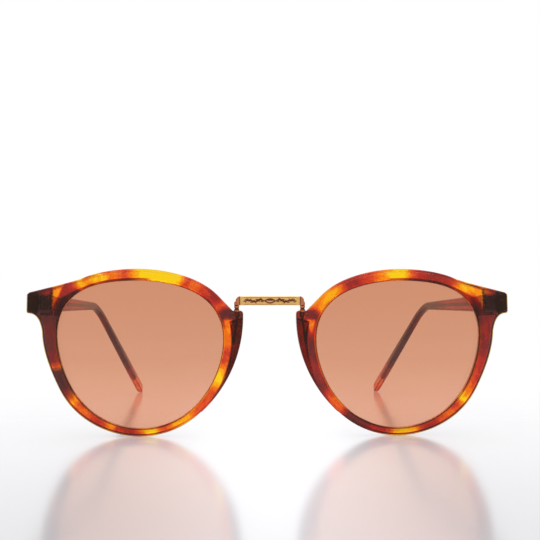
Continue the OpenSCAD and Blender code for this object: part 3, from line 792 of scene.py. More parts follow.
rim_grid, rim_extra = rim_rings()
rim = band(rim_grid)
row_count = rim_grid.shape[1]
along_section = np.arange(len(rim[1])) % row_count
in_groove = along_section < 2
outermost = (along_section >= OUTERMOST_FROM) & (along_section < OUTERMOST_FROM + OUTERMOST_FACES)
on_brow = np.repeat(np.abs(away(section_turn, BROW_SIDE[0])) < BROW_MATT_HALF, row_count)
matt = outermost | (along_section >= np.where(on_brow, BROW_LINE_FROM, BESIDE_LENS_FROM))
finishes = ((ground_tortoise, in_groove), (edge_plastic, matt))
for side, shell, patches, strip_shade in (("right", mirrored(rim), RIGHT_PATCHES, RIGHT_STRIP_SHADE),
                                          ("left", rim, LEFT_PATCHES, LEFT_STRIP_SHADE)):
    make_piece(f"rim_{side}", shell, "front", "tortoise", tortoise, others=finishes,
               shade=lambda points: rim_shade(points, patches, strip_shade, rim_extra.ravel()))

# %% [markdown]
# ## The lenses
#
# The lenses are flat power shells: both faces follow the same sphere, two millimetres apart, and
# a V-shaped bevel round the edge sits in the rim's groove. Rings of points run from the middle of
# the front face, over the bevel and back to the middle of the back face. The tint is a clear
# rose-brown, a little stronger at the brow, and it lets through almost all that it doesn't absorb.

# %% Lens material and lenses
LENS_T = 2.0
LENS_CLEAR = 0.08
BEVEL_CLEAR = 0.12
LENS_LOW = linear(231, 170, 139)
LENS_MIDDLE = linear(214, 150, 117)
LENS_TOP = linear(210, 143, 109)
LENS_WAVES = 40
LENS_CLOUD = 0.06
LENS_RINGS = 22


def lens_material():
    """Clear glass whose tint fades from the brow to the cheek, by height over the table."""
    material, tree, where = new_material("rose_brown_lens")
    height = add(tree, "ShaderNodeSeparateXYZ", {0: where}).outputs["Z"]
    share = combine(tree, "MULTIPLY", height, 1 / (2 * EYE_Z * MM))
    wave = combine(tree, "SUBTRACT", noise(tree, where, LENS_WAVES, 1), 0.5)
    cloud = combine(tree, "MULTIPLY", wave, LENS_CLOUD)
    stops = [(0.1, LENS_LOW), (0.48, LENS_MIDDLE), (0.9, LENS_TOP)]
    return finished(material, {
        "Base Color": ramp(tree, combine(tree, "ADD", share, cloud), stops),
        "Transmission Weight": 1.0,
        "IOR": 1.5,
        "Roughness": 0.0})


def lens_rings():
    """Rings at shares of the opening's radius on the front face, over the bevel and over the back."""
    a = np.arange(0, 360, 2.0)
    middle = RIM_T / 2
    shares = sin(np.linspace(3, 90, LENS_RINGS))
    rows = [(k, 0, middle - LENS_T / 2) for k in shares]
    rows += [(1, 0, middle - GROOVE_W + BEVEL_CLEAR), (1, groove_depth(a) - BEVEL_CLEAR, middle),
             (1, 0, middle + GROOVE_W - BEVEL_CLEAR)]
    rows += [(k, 0, middle + LENS_T / 2) for k in shares[::-1]]
    flat = [(polar(a, (eye(a) - LENS_CLEAR) * k + extra), depth) for k, extra, depth in rows]
    return np.stack([place(p, face(p) + depth) for p, depth in flat])


make_pair("lens", tube(lens_rings()), "front", "lens", lens_material(), sharp=25)

# %% [markdown]
# ## The nose pads
#
# The pads are saddle wings of the same plastic, bonded behind the nose side of each rim. Seen from
# the front they are looked at edge-on, through six millimetres of plastic, which is why they are
# so dark. The pad's section is a short polygon whose corners are cut three times over, which gives
# a soft pebble shape, and it swells and shrinks along the nose like half an oval.

# %% Nose pads
PAD_LOW_AT = 31
PAD_STRIP = 2.2
PAD_DEPTH = 6.5
PAD_TAPER = 0.55
PAD_STEP = 0.1
PAD_FULL = 2.6
PAD_POLE = 12
PAD_RINGS = 70
PAD_SHADE = 0.4
PAD_CLOUD = 0.1
BOND = 0.04
PAD_SECTION = np.array([
    [1, 0, 0.02], [0.97, 0, 0], [0.03, 0, 0], [0, 0, 0.03], [0, 0, 0.4], [0, 0, 0.8],
    [0, 0.15, 0.96], [0, 0.5, 1], [0, 0.8, 0.93], [0.35, 0.65, 0.72], [0.9, 0.1, 0.3], [0.99, 0.01, 0.06]])


def cut_corners(polygon, times):
    """Replaces each corner by two points, a quarter in from it on both sides, and repeats that."""
    for _ in range(times):
        after = np.roll(polygon, -1, 0)
        polygon = np.stack([0.75 * polygon + 0.25 * after, 0.25 * polygon + 0.75 * after], 1).reshape(-1, 3)
    return polygon


def pad_rings():
    """Sections along the nose side; the polygon shares out foot width, back width and depth."""
    t = (1 - cos(np.linspace(PAD_POLE, 180 - PAD_POLE, PAD_RINGS))) / 2
    a = 360 - PAD_LOW_AT + (PAD_LOW_AT + NOSE_TOP - 1) * t
    inner = eye(a) + PAD_STRIP
    foot = nose_side(a) - inner - PAD_STEP
    depth = PAD_DEPTH * np.sqrt(1 - np.abs(2 * t - 1) ** PAD_FULL)
    section = cut_corners(PAD_SECTION, 3)
    out = foot[:, None] * section[:, 0] + (foot * PAD_TAPER)[:, None] * section[:, 1]
    p = polar(a[:, None], inner[:, None] + out)
    return place(p, face(p) + RIM_T + BOND + depth[:, None] * section[:, 2])


def pad_shade(points):
    """Shade of a pad: slow waves from side to side."""
    return PAD_SHADE + PAD_CLOUD * np.sin(points[:, 0] * 3)


make_pair("nose_pad", tube(pad_rings()), "front", "pad", pad_plastic, shade=pad_shade)

# %% [markdown]
# ## Gold
#
# The bar and its legs are brass with a thin gold plate. The plate is bright on the flats, and the
# engraver's cuts keep polish and dust, so they look dark and duller. The bar's folds and backs, and
# a line where each fold meets the face, get painted shade. The legs, which were brazed, show coppery,
# with painted shade in rings and where they go into the plastic. One mark tells the shader how deep
# a point lies in a cut, and carries the painted shade too. Fine brushing along the bar breaks up the
# reflection: it is noise stretched twenty times along the bar's length.

# %% Gold material
GOLD = linear(255, 210, 125)
# The stain and tarnish colours also carry the painted shade on the bar's folds and on the legs.
STAIN_AND_SHADE = linear(214, 140, 100)
COPPER = linear(206, 132, 98)
TARNISH_AND_SHADE = linear(108, 62, 46)
BRUSH_WAVES = 9000
BRUSH_DRAW = 0.05
BRUSH_STRENGTH = 0.15
TARNISH_WAVES = 900
TARNISH_CLOUD = 0.25
BRUSH_DULL = 0.16
CUT_DULL = 0.25
GRAIN_DEPTH = 0.00003


def gold_material(name, plate, rough):
    """Plated metal, darker and rougher where the cut mark is high: in cuts and painted shade."""
    material, tree, where = new_material(name)
    brushed = noise(tree, stretched(tree, where, (BRUSH_DRAW, 1, 1)), BRUSH_WAVES, 3)
    depth = point_mark(tree, "cut")
    cloud = combine(tree, "MULTIPLY", noise(tree, where, TARNISH_WAVES, 3), TARNISH_CLOUD)
    worn = combine(tree, "ADD", depth, cloud)
    dull = combine(tree, "ADD", combine(tree, "MULTIPLY", brushed, BRUSH_DULL),
                   combine(tree, "MULTIPLY", depth, CUT_DULL))
    return finished(material, {
        "Base Color": ramp(tree, worn, [(0.08, plate), (0.4, STAIN_AND_SHADE), (0.85, TARNISH_AND_SHADE)]),
        "Metallic": 1.0,
        "Roughness": combine(tree, "ADD", dull, rough),
        "Normal": bump(tree, brushed, BRUSH_STRENGTH, GRAIN_DEPTH)})


gold = gold_material("gold_plate", GOLD, 0.27)
leg_metal = gold_material("brazed_copper", COPPER, 0.06)
print("metals of the bridge:", gold.name, "and", leg_metal.name)

# %% [markdown]
# ## The engraving
#
# The bar's face carries a traditional engraver's scroll: a pointed almond in the middle, and on
# each side a vine that waves along the bar with leaves turning off it. Every stroke is a run of
# points with a width, and a leaf is wide in the middle and fine at its ends. The depth of the cut
# at a point of the face is the deepest that any stroke gives, each falling off as a bell with
# distance from the stroke.

# %% Strokes of the scroll
VINE_FROM = 1.7
VINE_TO = 7.2
VINE_WAVE = 3.4
VINE_HIGH = 0.36
VINE_FADE = 0.4
VINE_CUT = 0.09
VINE_SWELL = 0.06
BORDER_AT = 1.02
BORDER_CUT = 0.05
ALMOND_HALF = 1.5
ALMOND_BEND = math.degrees(1.05)
ALMOND_LINES = ((0.6, 0.02, 0.15), (-0.62, 0, 0.17))
LID = ((-0.8, 0.12), 14, 1.6, -28, 0.22)
LEAVES = ((0, 0, 0, 42, 1.15, -70, 0.13), (0, 0, 0, -24, 0.95, 60, 0.09),
          (0.2, 0.3, 0.42, 10, 0.55, -50, 0.07))
LEAF_GROUPS = 11
VINE_LEAD = 0.2
BORDER_PAST = 0.3
LEAVES_SHORT = 0.6
STROKE_BLUNT = 0.06
STROKE_POINTS = 26
ALMOND_POINTS = 60
VINE_POINTS = 140
BORDER_POINTS = 160


def stroke(start, heading, length, curl, width):
    """A stroke from the start that turns by curl over its length, as rows of x, z and width."""
    t = np.linspace(0, 1, STROKE_POINTS)
    a = (heading + curl * t)[:-1]
    step = length / (STROKE_POINTS - 1)
    x = start[0] + np.concatenate([[0], np.cumsum(cos(a))]) * step
    z = start[1] + np.concatenate([[0], np.cumsum(sin(a))]) * step
    return np.stack([x, z, width * np.sqrt(sin(180 * (STROKE_BLUNT + (1 - 2 * STROKE_BLUNT) * t)))], -1)


def vine(x):
    """Height of the vine at x: a sine wave that dies away towards the bar's ends."""
    share = (x - VINE_FROM) / (VINE_TO - VINE_FROM)
    return VINE_HIGH * sin(360 * (x - VINE_FROM) / VINE_WAVE) * (1 - VINE_FADE * share)


def scroll():
    """All strokes of the right half: the almond, its lid, the vine, a fine border and the leaves."""
    t = np.linspace(-ALMOND_HALF, ALMOND_HALF, ALMOND_POINTS)
    strokes = [np.stack([t, high * cos(ALMOND_BEND * t) - drop, width + 0 * t], -1)
               for high, drop, width in ALMOND_LINES]
    x = np.linspace(VINE_FROM - VINE_LEAD, VINE_TO, VINE_POINTS)
    swell = VINE_SWELL * sin(180 * (x - VINE_FROM) / (VINE_TO - VINE_FROM))
    border = np.linspace(0, VINE_TO + BORDER_PAST, BORDER_POINTS)
    strokes += [stroke(*LID), np.stack([x, vine(x), VINE_CUT + swell], -1)]
    for z in (-BORDER_AT, BORDER_AT):
        strokes.append(np.stack([border, 0 * border + z, 0 * border + BORDER_CUT], -1))
    for k, at in enumerate(np.linspace(VINE_FROM, VINE_TO - LEAVES_SHORT, LEAF_GROUPS)):
        up = 1 if k % 2 else -1
        for along, ahead, lift, heading, length, curl, width in LEAVES:
            start = (at + along, vine(at + ahead) + up * lift)
            strokes.append(stroke(start, up * heading, length, up * curl, width))
    return np.concatenate(strokes)


def cut(x, z):
    """Depth of the cut from 0 to 1: the highest bell of any stroke, by distance over its width."""
    marks = scroll()
    squared = (np.abs(x)[:, None] - marks[:, 0]) ** 2 + (z[:, None] - marks[:, 1]) ** 2
    return np.exp(-squared / marks[:, 2] ** 2).max(1)


print("stroke points in the scroll:", len(scroll()))

# %% [markdown]
# ## The bridge bar
#
# The bar is a flat strip, folded back at both ends and soldered to the legs. Its section, a
# rectangle with soft edges, is carried along a path in plan: forward from the right leg, round the
# fold, across the front, and back again. The front face has a fine grid, so that the engraving is
# real geometry and not only a pattern.

# %% Bridge bar
BAR_RISE = 14.2
BAR_H = 2.6
BAR_T = 0.9
BAR_FOLD_R = 1.2
BAR_REACH = 3.4
BAR_OVER = 0.35
BAR_EDGE = 0.16
STRIP_SHORT = 0.567
CUT_DEPTH = 0.1
CUT_FADE = 0.12
END_TRIM = 1.3
# Painted shade on the bar's folds and backs, and a line of painted shade at the crease where each fold meets
# the face.
FOLD_SHADE = 0.25
CREASE = 0.7
CREASE_W = 0.13
RUN_POINTS = 378
FOLD_POINTS = 15
FACING = 0.99
LEG_Y = face(leg_foot) + RIM_T / 2
BAR_FRONT = LEG_Y - BAR_REACH
BAR_HALF = EYE_X + leg_foot[0] + BAR_OVER


def bar_path():
    """Middle line of the strip in plan with its outward normal: straight, a quarter circle, straight."""
    r = BAR_FOLD_R - BAR_T / 2
    fold = np.linspace(180, 270, FOLD_POINTS)
    corner_x, corner_y = -BAR_HALF + BAR_FOLD_R, BAR_FRONT + BAR_FOLD_R
    back_y = np.linspace(LEG_Y - STRIP_SHORT, corner_y, 8)[:-1]
    run_x = np.linspace(corner_x, -corner_x, RUN_POINTS + 2)[1:-1]
    half = np.concatenate([
        np.stack([0 * back_y + corner_x - r, back_y, 0 * back_y - 1, 0 * back_y], -1),
        np.stack([corner_x + r * cos(fold), corner_y + r * sin(fold), cos(fold), sin(fold)], -1)])
    run = np.stack([run_x, 0 * run_x + corner_y - r, 0 * run_x, 0 * run_x - 1], -1)
    return np.concatenate([half, run, half[::-1] * [-1, 1, -1, 1]])


def round_box(half_u, half_v, r, n):
    """Rectangles as [u, v], one for each half size and corner radius, clockwise from the top right.

    Each corner has n points: the corner's middle plus r times the cosine and the sine.
    """
    half = np.stack([half_u, half_v], -1)[:, None]
    r = np.broadcast_to(r, len(half))[:, None, None]
    unit = np.concatenate([arc([0, 0], 1, start, start - 90, n) for start in (90, 0, -90, -180)])
    sign = np.repeat([[1, 1], [1, -1], [-1, -1], [-1, 1]], n, axis=0)
    return sign * (half - r) + unit * r


def bar_section():
    """The strip's section as [outward, up]: down the front, round the low edges and up the back."""
    corners = round_box([BAR_T / 2], [BAR_H / 2], BAR_EDGE, 6)[0]
    top_front, low_front, low_back, top_back = np.split(corners, 4)
    front = line(top_front[-1], low_front[0], 52)
    rear = line(low_back[-1], top_back[0], 6)
    return np.concatenate([top_front[-1:], front, low_front, low_back, rear, top_back, top_front[:-1]])


def bridge_bar():
    """Carries the section along the path, rounds its top corners, and sinks the front by the cut."""
    path_x, path_y, normal_x, normal_y = bar_path().T[:, :, None]
    section = bar_section()
    out = np.broadcast_to(section[:, 0], (len(path_x), len(section)))
    past_fold = np.abs(path_x) - BAR_HALF + BAR_FOLD_R
    beyond = np.clip(past_fold / (BAR_FOLD_R - BAR_T / 2), 0, 1)
    rounding = END_TRIM * (1 - np.sqrt(1 - beyond ** 2))
    up = section[:, 1] - rounding * (section[:, 1] / BAR_H + 0.5)
    x = path_x + normal_x * out
    y = path_y + normal_y * out
    in_front = (out > BAR_T / 2 - 1e-6) & (normal_y < -FACING)
    depth = np.where(in_front, cut(x.ravel(), up.ravel()).reshape(out.shape), 0)
    depth = depth * ease((BAR_H / 2 - BAR_EDGE - np.abs(up)) / CUT_FADE)
    # Painted shade: the folds and backs, which turn away from the front, and a line at each crease, added to
    # the engraving's cut.
    cut_and_shade = np.clip(depth + CREASE * bell(past_fold, CREASE_W) + FOLD_SHADE * (normal_y > -FACING), 0, 1)
    rings = np.stack([x, FRONT_Y + y + CUT_DEPTH * depth, EYE_Z + BAR_RISE + up], -1)
    return tube(rings), np.concatenate([cut_and_shade.ravel(), [0, 0]])


bar, bar_cut_and_shade = bridge_bar()
make_piece("bridge_bar", bar, "front", "gold", gold, sharp=50, cut=lambda points: bar_cut_and_shade)

# %% [markdown]
# ## The bridge legs
#
# A round leg is soldered into each folded end of the bar and set hot into the boss, where it goes
# on as a thinner core. Both show through the plastic. The leg is a tube of level rings whose
# middle and radius follow its length: a bead under the bar, a waist, a round foot, then the core.

# %% Bridge legs
LEG_R = 0.75
LEG_UNDER = 0.2
LEG_TOP_R = 0.3
LEG_FOOT_R = 0.5
CORE_R = 0.4
CORE_REACH = 8
CORE_END = 0.3
WAIST = 0.17
WAIST_OVER = 0.6
WAIST_W = 0.17
NECK_OVER = 0.85
NECK_W = 0.1
# Painted shade on the leg: dark rings at the waist and the neck, and darker where it goes into the plastic.
LEG_TONE = 0.25
LEG_SHADE_RINGS = ((0.45, 0.3, 0.7), (1.5, 0.22, 0.55))
LEG_SUNK_SHADE = 0.6
LEG_SUNK_EDGE = 0.2
LEG_RINGS = 70
CORE_RINGS = 30
LEG_STEP = 12
core_v = leg_foot[1] - CORE_REACH
core_a = math.degrees(math.asin(core_v / EYE_R))
core_r = (eye(core_a) + GROOVE_D + nose_side(core_a)) / 2
core_foot = np.array([-core_r * cos(core_a), core_v])


def leg_rings():
    """Level rings down the leg and its core: middle on the line, radius by height.

    The top is a quarter circle, a waist under the bar leaves a bead above it, the foot is round,
    and the core goes on below.
    """
    top = BAR_RISE + BAR_H / 2 - END_TRIM - LEG_UNDER
    foot = leg_foot[1]
    t = np.concatenate([top - LEG_TOP_R * (1 - cos(np.arange(5, 90, 12))),
                        np.linspace(top - LEG_TOP_R - 0.02, foot + LEG_FOOT_R, LEG_RINGS),
                        foot + LEG_FOOT_R * cos(np.arange(10, 91, 8)),
                        np.linspace(foot - 0.1, core_v, CORE_RINGS)])
    share = np.clip((foot - t) / CORE_REACH, 0, 1)
    middle = leg_foot + share[:, None] * (core_foot - leg_foot)
    depth = LEG_Y + share * (face(core_foot) + RIM_T / 2 - LEG_Y)
    low = np.clip((t - foot) / LEG_FOOT_R, 0, 1)
    high = np.clip((top - t) / LEG_TOP_R, 0, 1)
    over = t - BOSS_RISE - WAIST_OVER
    radius = CORE_R + (LEG_R - CORE_R) * np.sqrt(low * (2 - low))
    radius = radius - LEG_TOP_R * (1 - np.sqrt(high * (2 - high)))
    radius = radius - WAIST * (bell(over, WAIST_W) + bell(over - NECK_OVER, NECK_W) / 2)
    radius = radius * np.sqrt(np.clip((t - core_v) / CORE_END, 0.02, 1))
    a = np.arange(0, 360, LEG_STEP)
    ring = radius[:, None, None] * np.stack([cos(a), sin(a), 0 * a], -1)
    return np.stack([EYE_X + middle[:, 0], FRONT_Y + depth, EYE_Z + t], -1)[:, None] + ring


def leg_cut(points):
    """How dark the leg is by its height over the boss: an even tone, and painted shade in two rings and the
    plastic.
    """
    up = points[:, 2] - EYE_Z - BOSS_RISE
    rings = sum(dark * bell(up - at, wide) for at, wide, dark in LEG_SHADE_RINGS)
    return LEG_TONE + rings + LEG_SUNK_SHADE * soft(-up, LEG_SUNK_EDGE)


make_pair("bridge_leg", tube(leg_rings()), "front", "gold", leg_metal, cut=leg_cut)

# %% [markdown]
# ## The temples
#
# A temple is straight as far as the ear, bends over it and drops behind it to a rounded tip. Its
# middle line turns down and inwards at a steady rate along the bend, which gives two circles, one
# seen from the side and one from above. The section is a rounded rectangle that thins towards the
# bend and grows again in the tip, and its rings tilt with the line.

# %% The temple's middle line
TEMPLE_T = 3.6
TEMPLE_T_BACK = 2.4
TEMPLE_STEP = 0.15
BUTT_GAP = 0.15
BEND_H = 2.5
TIP_H = 3.9
TEMPLE_ROUND = 1.1
STRAIGHT_LEN = 76
STRAIGHT_DIP = 1.6
BEND_R = 24
DROP_ANGLE = 41
TOE_IN = 5
HOOK_IN = 14
TIP_ROUND = 3.5
temple_x = FRONT_W / 2 - TEMPLE_STEP - TEMPLE_T / 2
end_back = FRONT_Y + END_BACK
bend_len = BEND_R * math.radians(DROP_ANGLE - STRAIGHT_DIP)
hook_r = bend_len / math.radians(HOOK_IN - TOE_IN)
drop_from = hinge[2] - STRAIGHT_LEN * sin(STRAIGHT_DIP) - BEND_R * (cos(STRAIGHT_DIP) - cos(DROP_ANGLE))
tip_reach = TIP_ROUND * sin(DROP_ANGLE)
tip_low = math.hypot(tip_reach, TIP_H / 2 * cos(DROP_ANGLE)) - tip_reach
TEMPLE_LEN = STRAIGHT_LEN + bend_len + (drop_from - tip_low) / sin(DROP_ANGLE)


def middle_line(s):
    """Place of the middle line at the distance s: a straight part, then the bend, then the drop."""
    bent = np.clip((s - STRAIGHT_LEN) / bend_len, 0, 1)
    dip = STRAIGHT_DIP + (DROP_ANGLE - STRAIGHT_DIP) * bent
    slant = TOE_IN + (HOOK_IN - TOE_IN) * bent
    first = np.minimum(s, STRAIGHT_LEN)
    last = np.maximum(s - STRAIGHT_LEN - bend_len, 0)
    y = first * cos(STRAIGHT_DIP) + BEND_R * (sin(dip) - sin(STRAIGHT_DIP)) + last * cos(DROP_ANGLE)
    z = -first * sin(STRAIGHT_DIP) + BEND_R * (cos(dip) - cos(STRAIGHT_DIP)) - last * sin(DROP_ANGLE)
    inward = first * sin(TOE_IN) + hook_r * (cos(TOE_IN) - cos(slant)) + last * sin(HOOK_IN)
    return np.stack([temple_x - inward, end_back + BUTT_GAP + y, hinge[2] + z], -1), dip


def temple_size(s):
    """Half thickness and half height of the temple at the distance s."""
    bend_mid = STRAIGHT_LEN + bend_len / 2
    thick = TEMPLE_T + (TEMPLE_T_BACK - TEMPLE_T) * ease(s / bend_mid)
    taper = END_H + (BEND_H - END_H) * s / bend_mid
    swell = BEND_H + (TIP_H - BEND_H) * ease((s - bend_mid) / (TEMPLE_LEN - bend_mid - 2 * TIP_ROUND))
    return thick / 2, np.where(s < bend_mid, taper, swell) / 2


def tilted(at, dip, u, v):
    """Rings at the places: u sideways, and v upwards but tilted back by the dip."""
    return at[:, None] + np.stack([u, v * sin(dip)[:, None], v * cos(dip)[:, None]], -1)


print(f"temple length along its middle line: {TEMPLE_LEN:.1f} mm")

# %% Temples
PLATE_END = 10.5
PLATE_RECESS = 0.04
BUTT_LEN = 0.3
BUTT_SHRINK = (0.93, 0.98)
ROUND_MOST = 0.7


def temple_rings():
    """Rounded rectangles on the middle line; the last ones shrink as a quarter circle does."""
    tip_from = TEMPLE_LEN - TIP_ROUND
    tip = np.arange(6, 90, 6)
    s = np.concatenate([[0, 0.1], np.linspace(BUTT_LEN, STRAIGHT_LEN, 90),
                        STRAIGHT_LEN + np.linspace(0, bend_len, 40)[1:],
                        np.linspace(STRAIGHT_LEN + bend_len, tip_from, 40)[1:],
                        tip_from + TIP_ROUND * sin(tip)])
    k = np.concatenate([BUTT_SHRINK, np.ones(len(s) - len(BUTT_SHRINK) - len(tip)), cos(tip)])
    at, dip = middle_line(s)
    half_t, half_h = [half * k for half in temple_size(s)]
    r = np.minimum(TEMPLE_ROUND, ROUND_MOST * np.minimum(half_t, half_h))
    u, v = np.moveaxis(round_box(half_t, half_h, r, 7), -1, 0)
    u = u + np.where((u < 0) & (s[:, None] < PLATE_END + 1), PLATE_RECESS, 0)
    return tilted(at, np.where(s < BUTT_LEN, 0, dip), u, v)


def temple_shade(points):
    """Shade along a temple, by the distance from its front end, with leaning borders."""
    run = points[:, 1] - end_back
    return stations(run + LEAN_DEEP * np.sin(0.8 * points[:, 2]), TEMPLE_PATCHES)


make_pair("temple", tube(temple_rings()), "temple", "tortoise", tortoise, shade=temple_shade)

# %% [markdown]
# ## Steel: hinges, rivets and core wires
#
# The hinge leaves are nickel silver, machined and then tumbled, so the edges are soft and the faces
# have a fine grain. A leaf is made of simple bodies: blocks with rounded edges, and knuckles that
# are a profile carried round the hinge axis. The core wire stiffens the temple and shows through it.

# %% Steel material and simple bodies
GRAIN_WAVES = 6000
GRAIN_DULL = 0.2
GRAIN_STRENGTH = 0.1
CLOUD_WAVES = 700
STEEL_ROUGH = 0.18
BLOCK_POINTS = 5
SPIN_STEP = 7.5


def steel_material(name, dim, bright):
    """Tumbled metal: two near colours in clouds, with fine grain in its roughness and a light bump."""
    material, tree, where = new_material(name)
    grain = noise(tree, where, GRAIN_WAVES, 3)
    return finished(material, {
        "Base Color": ramp(tree, noise(tree, where, CLOUD_WAVES, 2), [(0.2, dim), (0.8, bright)]),
        "Metallic": 1.0,
        "Roughness": combine(tree, "ADD", combine(tree, "MULTIPLY", grain, GRAIN_DULL), STEEL_ROUGH),
        "Normal": bump(tree, grain, GRAIN_STRENGTH, GRAIN_DEPTH)})


def block(low, high, r):
    """A block with edges of radius r: rounded rectangles, drawn in at both ends by a quarter circle."""
    low, high = np.array(low, float), np.array(high, float)
    t = np.linspace(0, 90, BLOCK_POINTS)
    inset = r * (1 - sin(np.concatenate([t, t[::-1]])))
    z = np.concatenate([low[2] + r * (1 - cos(t)), high[2] - r * (1 - cos(t[::-1]))])
    half, middle = (high - low) / 2, (high + low) / 2
    flat = middle[:2] + round_box(half[0] - inset, half[1] - inset, r - inset, BLOCK_POINTS)
    return tube(np.concatenate([flat, np.broadcast_to(z[:, None, None], (*flat.shape[:2], 1))], -1))


def spun(profile, middle, axis="z"):
    """Carries a closed profile of [radius, height] rows round the axis through the middle."""
    profile = np.array(profile, float)
    a = np.arange(0, 360, SPIN_STEP)[:, None]
    x, y = profile[:, 0] * cos(a), profile[:, 0] * sin(a)
    z = np.broadcast_to(profile[:, 1], x.shape)
    rings = np.stack([x, y, z] if axis == "z" else [z, x, y], -1)
    return band(rings + np.array(middle))


def turned(shell, angle, middle):
    """The shell turned about the upright line through the middle: x cos - y sin, x sin + y cos."""
    points, quads, tris = shell
    x, y = points[:, 0] - middle[0], points[:, 1] - middle[1]
    new_x = middle[0] + x * cos(angle) - y * sin(angle)
    new_y = middle[1] + x * sin(angle) + y * cos(angle)
    return np.stack([new_x, new_y, points[:, 2]], -1), quads, tris


steel = steel_material("tumbled_steel", linear(176, 170, 162), linear(208, 204, 198))
wire_metal = steel_material("drawn_wire", linear(150, 108, 82), linear(182, 138, 106))
print("faces of a unit block:", len(block([0, 0, 0], [1, 1, 1], 0.1)[1]))

# %% Hinge leaves
KNUCKLE_R = 1.5
KNUCKLE_H = 1.4
KNUCKLE_GAP = 0.06
SCREW_R = 0.7
HEAD_R = 1.15
HEAD_H = 0.6
SCREW_CLEAR = 0.05
FOOT_W = 2.2
FOOT_DEPTH = 2.6
WEB_T = 1.6
WEB_ROUND = 0.05
WEB_SINK = 0.5
FLUSH = 0.02
AXIS_IN = 2.0
PLATE_FROM = 0.5
PLATE_LEN = 9.5
PLATE_H = 4.0
PLATE_T = 0.9
TANG_LEN = 1.4
WIRE_R = 0.6
CHAMFER = 0.12
hinge_half = (3 * KNUCKLE_H + 2 * KNUCKLE_GAP) / 2
temple_corner = np.array([temple_x - TEMPLE_T / 2, end_back + BUTT_GAP, hinge[2]])


def knuckle(middle_z, bore, recess=False):
    """One knuckle: a ring with chamfered edges, and a pocket for the screw's head in the top one."""
    low, high, c = middle_z - KNUCKLE_H / 2, middle_z + KNUCKLE_H / 2, CHAMFER
    floor_z = high - HEAD_H - BOND
    profile = [(bore, low), (KNUCKLE_R - c, low), (KNUCKLE_R, low + c), (KNUCKLE_R, high - c),
               (KNUCKLE_R - c, high)]
    pocket = [(HEAD_R + BOND, high), (HEAD_R + BOND, floor_z), (bore, floor_z)]
    return spun(profile + (pocket if recess else [(bore, high)]), [hinge[0], hinge[1], 0])


def front_leaf():
    """The leaf in the end piece: its foot, two knuckles and the webs between them."""
    x, y, z = hinge
    parts = [block([x - FOOT_W / 2, end_back - FOOT_DEPTH, z - hinge_half],
                   [x + FOOT_W / 2, end_back, z + hinge_half], CHAMFER)]
    for k in (-1, 1):
        middle = z + k * (KNUCKLE_H + KNUCKLE_GAP)
        half = KNUCKLE_H / 2 - FLUSH
        parts.append(knuckle(middle, SCREW_R + BOND, k > 0))
        parts.append(block([x - WEB_T / 2, end_back - WEB_SINK, middle - half],
                           [x + WEB_T / 2, y - SCREW_R - WEB_SINK, middle + half], WEB_ROUND))
    return join(*parts)


def temple_leaf():
    """The leaf in the temple: a plate with its tang, turned along the temple, and one knuckle."""
    c = temple_corner
    x, y, z = hinge
    plate_to = PLATE_FROM + PLATE_LEN
    half = KNUCKLE_H / 2 - FLUSH
    plate = block(c + [0, PLATE_FROM, -PLATE_H / 2], c + [PLATE_T, plate_to, PLATE_H / 2], CHAMFER)
    tang = block(c + [WEB_ROUND, plate_to - TANG_LEN, FLUSH - PLATE_H / 2],
                 c + [TEMPLE_T / 2 + WIRE_R, plate_to, PLATE_H / 2 - FLUSH], CHAMFER)
    web = block([x + SCREW_R + WEB_SINK, y - WEB_T / 2, z - half],
                [x + AXIS_IN + PLATE_T / 2, y + WEB_T / 2, z + half], WEB_ROUND)
    return join(turned(plate, TOE_IN, c), turned(tang, TOE_IN, c), web, knuckle(z, SCREW_R + SCREW_CLEAR))


make_pair("hinge_front", front_leaf(), "front", "hinge_steel", steel, sharp=30)
make_pair("hinge_temple", temple_leaf(), "temple", "hinge_steel", steel, sharp=30)
for side in ("right", "left"):
    screw = frame["nodes"][f"hinge_screw_{side}"].data
    screw.materials.clear()
    screw.materials.append(steel)

# %% [markdown]
# ## Rivets and core wires
#
# Two rivets a side hold the hinge plate. Their domed heads are the only metal on the outside of the
# temple, gold like the bar. The core wire runs from the hinge's tang almost to the tip.

# %% Rivets and core wires
RIVET_R = 0.55
RIVET_HEAD_R = 0.95
RIVET_HEAD_H = 0.35
RIVET_BEVEL = 0.08
RIVET_FIRST = 2.6
RIVET_PITCH = 3.6
WIRE_SHORT = 9
WIRE_END = 0.8
WIRE_RINGS = 130
WIRE_STEP = 20
DOME_POINTS = 9
NEAR_AXIS = 0.01


def rivets():
    """Two shanks through the temple, each with a domed head: a quarter ellipse in its profile."""
    top = TEMPLE_T + BOND
    profile = [(NEAR_AXIS, 0), (RIVET_R - RIVET_BEVEL, 0), (RIVET_R, RIVET_BEVEL), (RIVET_R, TEMPLE_T),
               (RIVET_HEAD_R, top)]
    profile += [(max(RIVET_HEAD_R * cos(a), NEAR_AXIS), top + RIVET_HEAD_H * sin(a))
                for a in np.linspace(0, 90, DOME_POINTS)]
    both = [spun(profile, temple_corner + [0, RIVET_FIRST + k * RIVET_PITCH, 0], "x") for k in (0, 1)]
    return turned(join(*both), TOE_IN, temple_corner)


def wire_rings():
    """Round rings on the temple's middle line, from the hinge's tang to short of the tip."""
    start = (PLATE_FROM + PLATE_LEN) * cos(TOE_IN) + (TEMPLE_T / 2 + WIRE_R) * sin(TOE_IN) + 2 * BOND
    s = np.linspace(start, TEMPLE_LEN - WIRE_SHORT, WIRE_RINGS)
    a = np.arange(0, 360, WIRE_STEP)
    r = WIRE_R * np.sqrt(np.clip((s[-1] - s) / WIRE_END, 0.05, 1))[:, None]
    return tilted(*middle_line(s), r * cos(a), r * sin(a))


make_pair("temple_rivets", rivets(), "temple", "gold", gold, cut=lambda points: 0 * points[:, 0])
make_pair("temple_core", tube(wire_rings()), "temple", "hinge_steel", wire_metal)
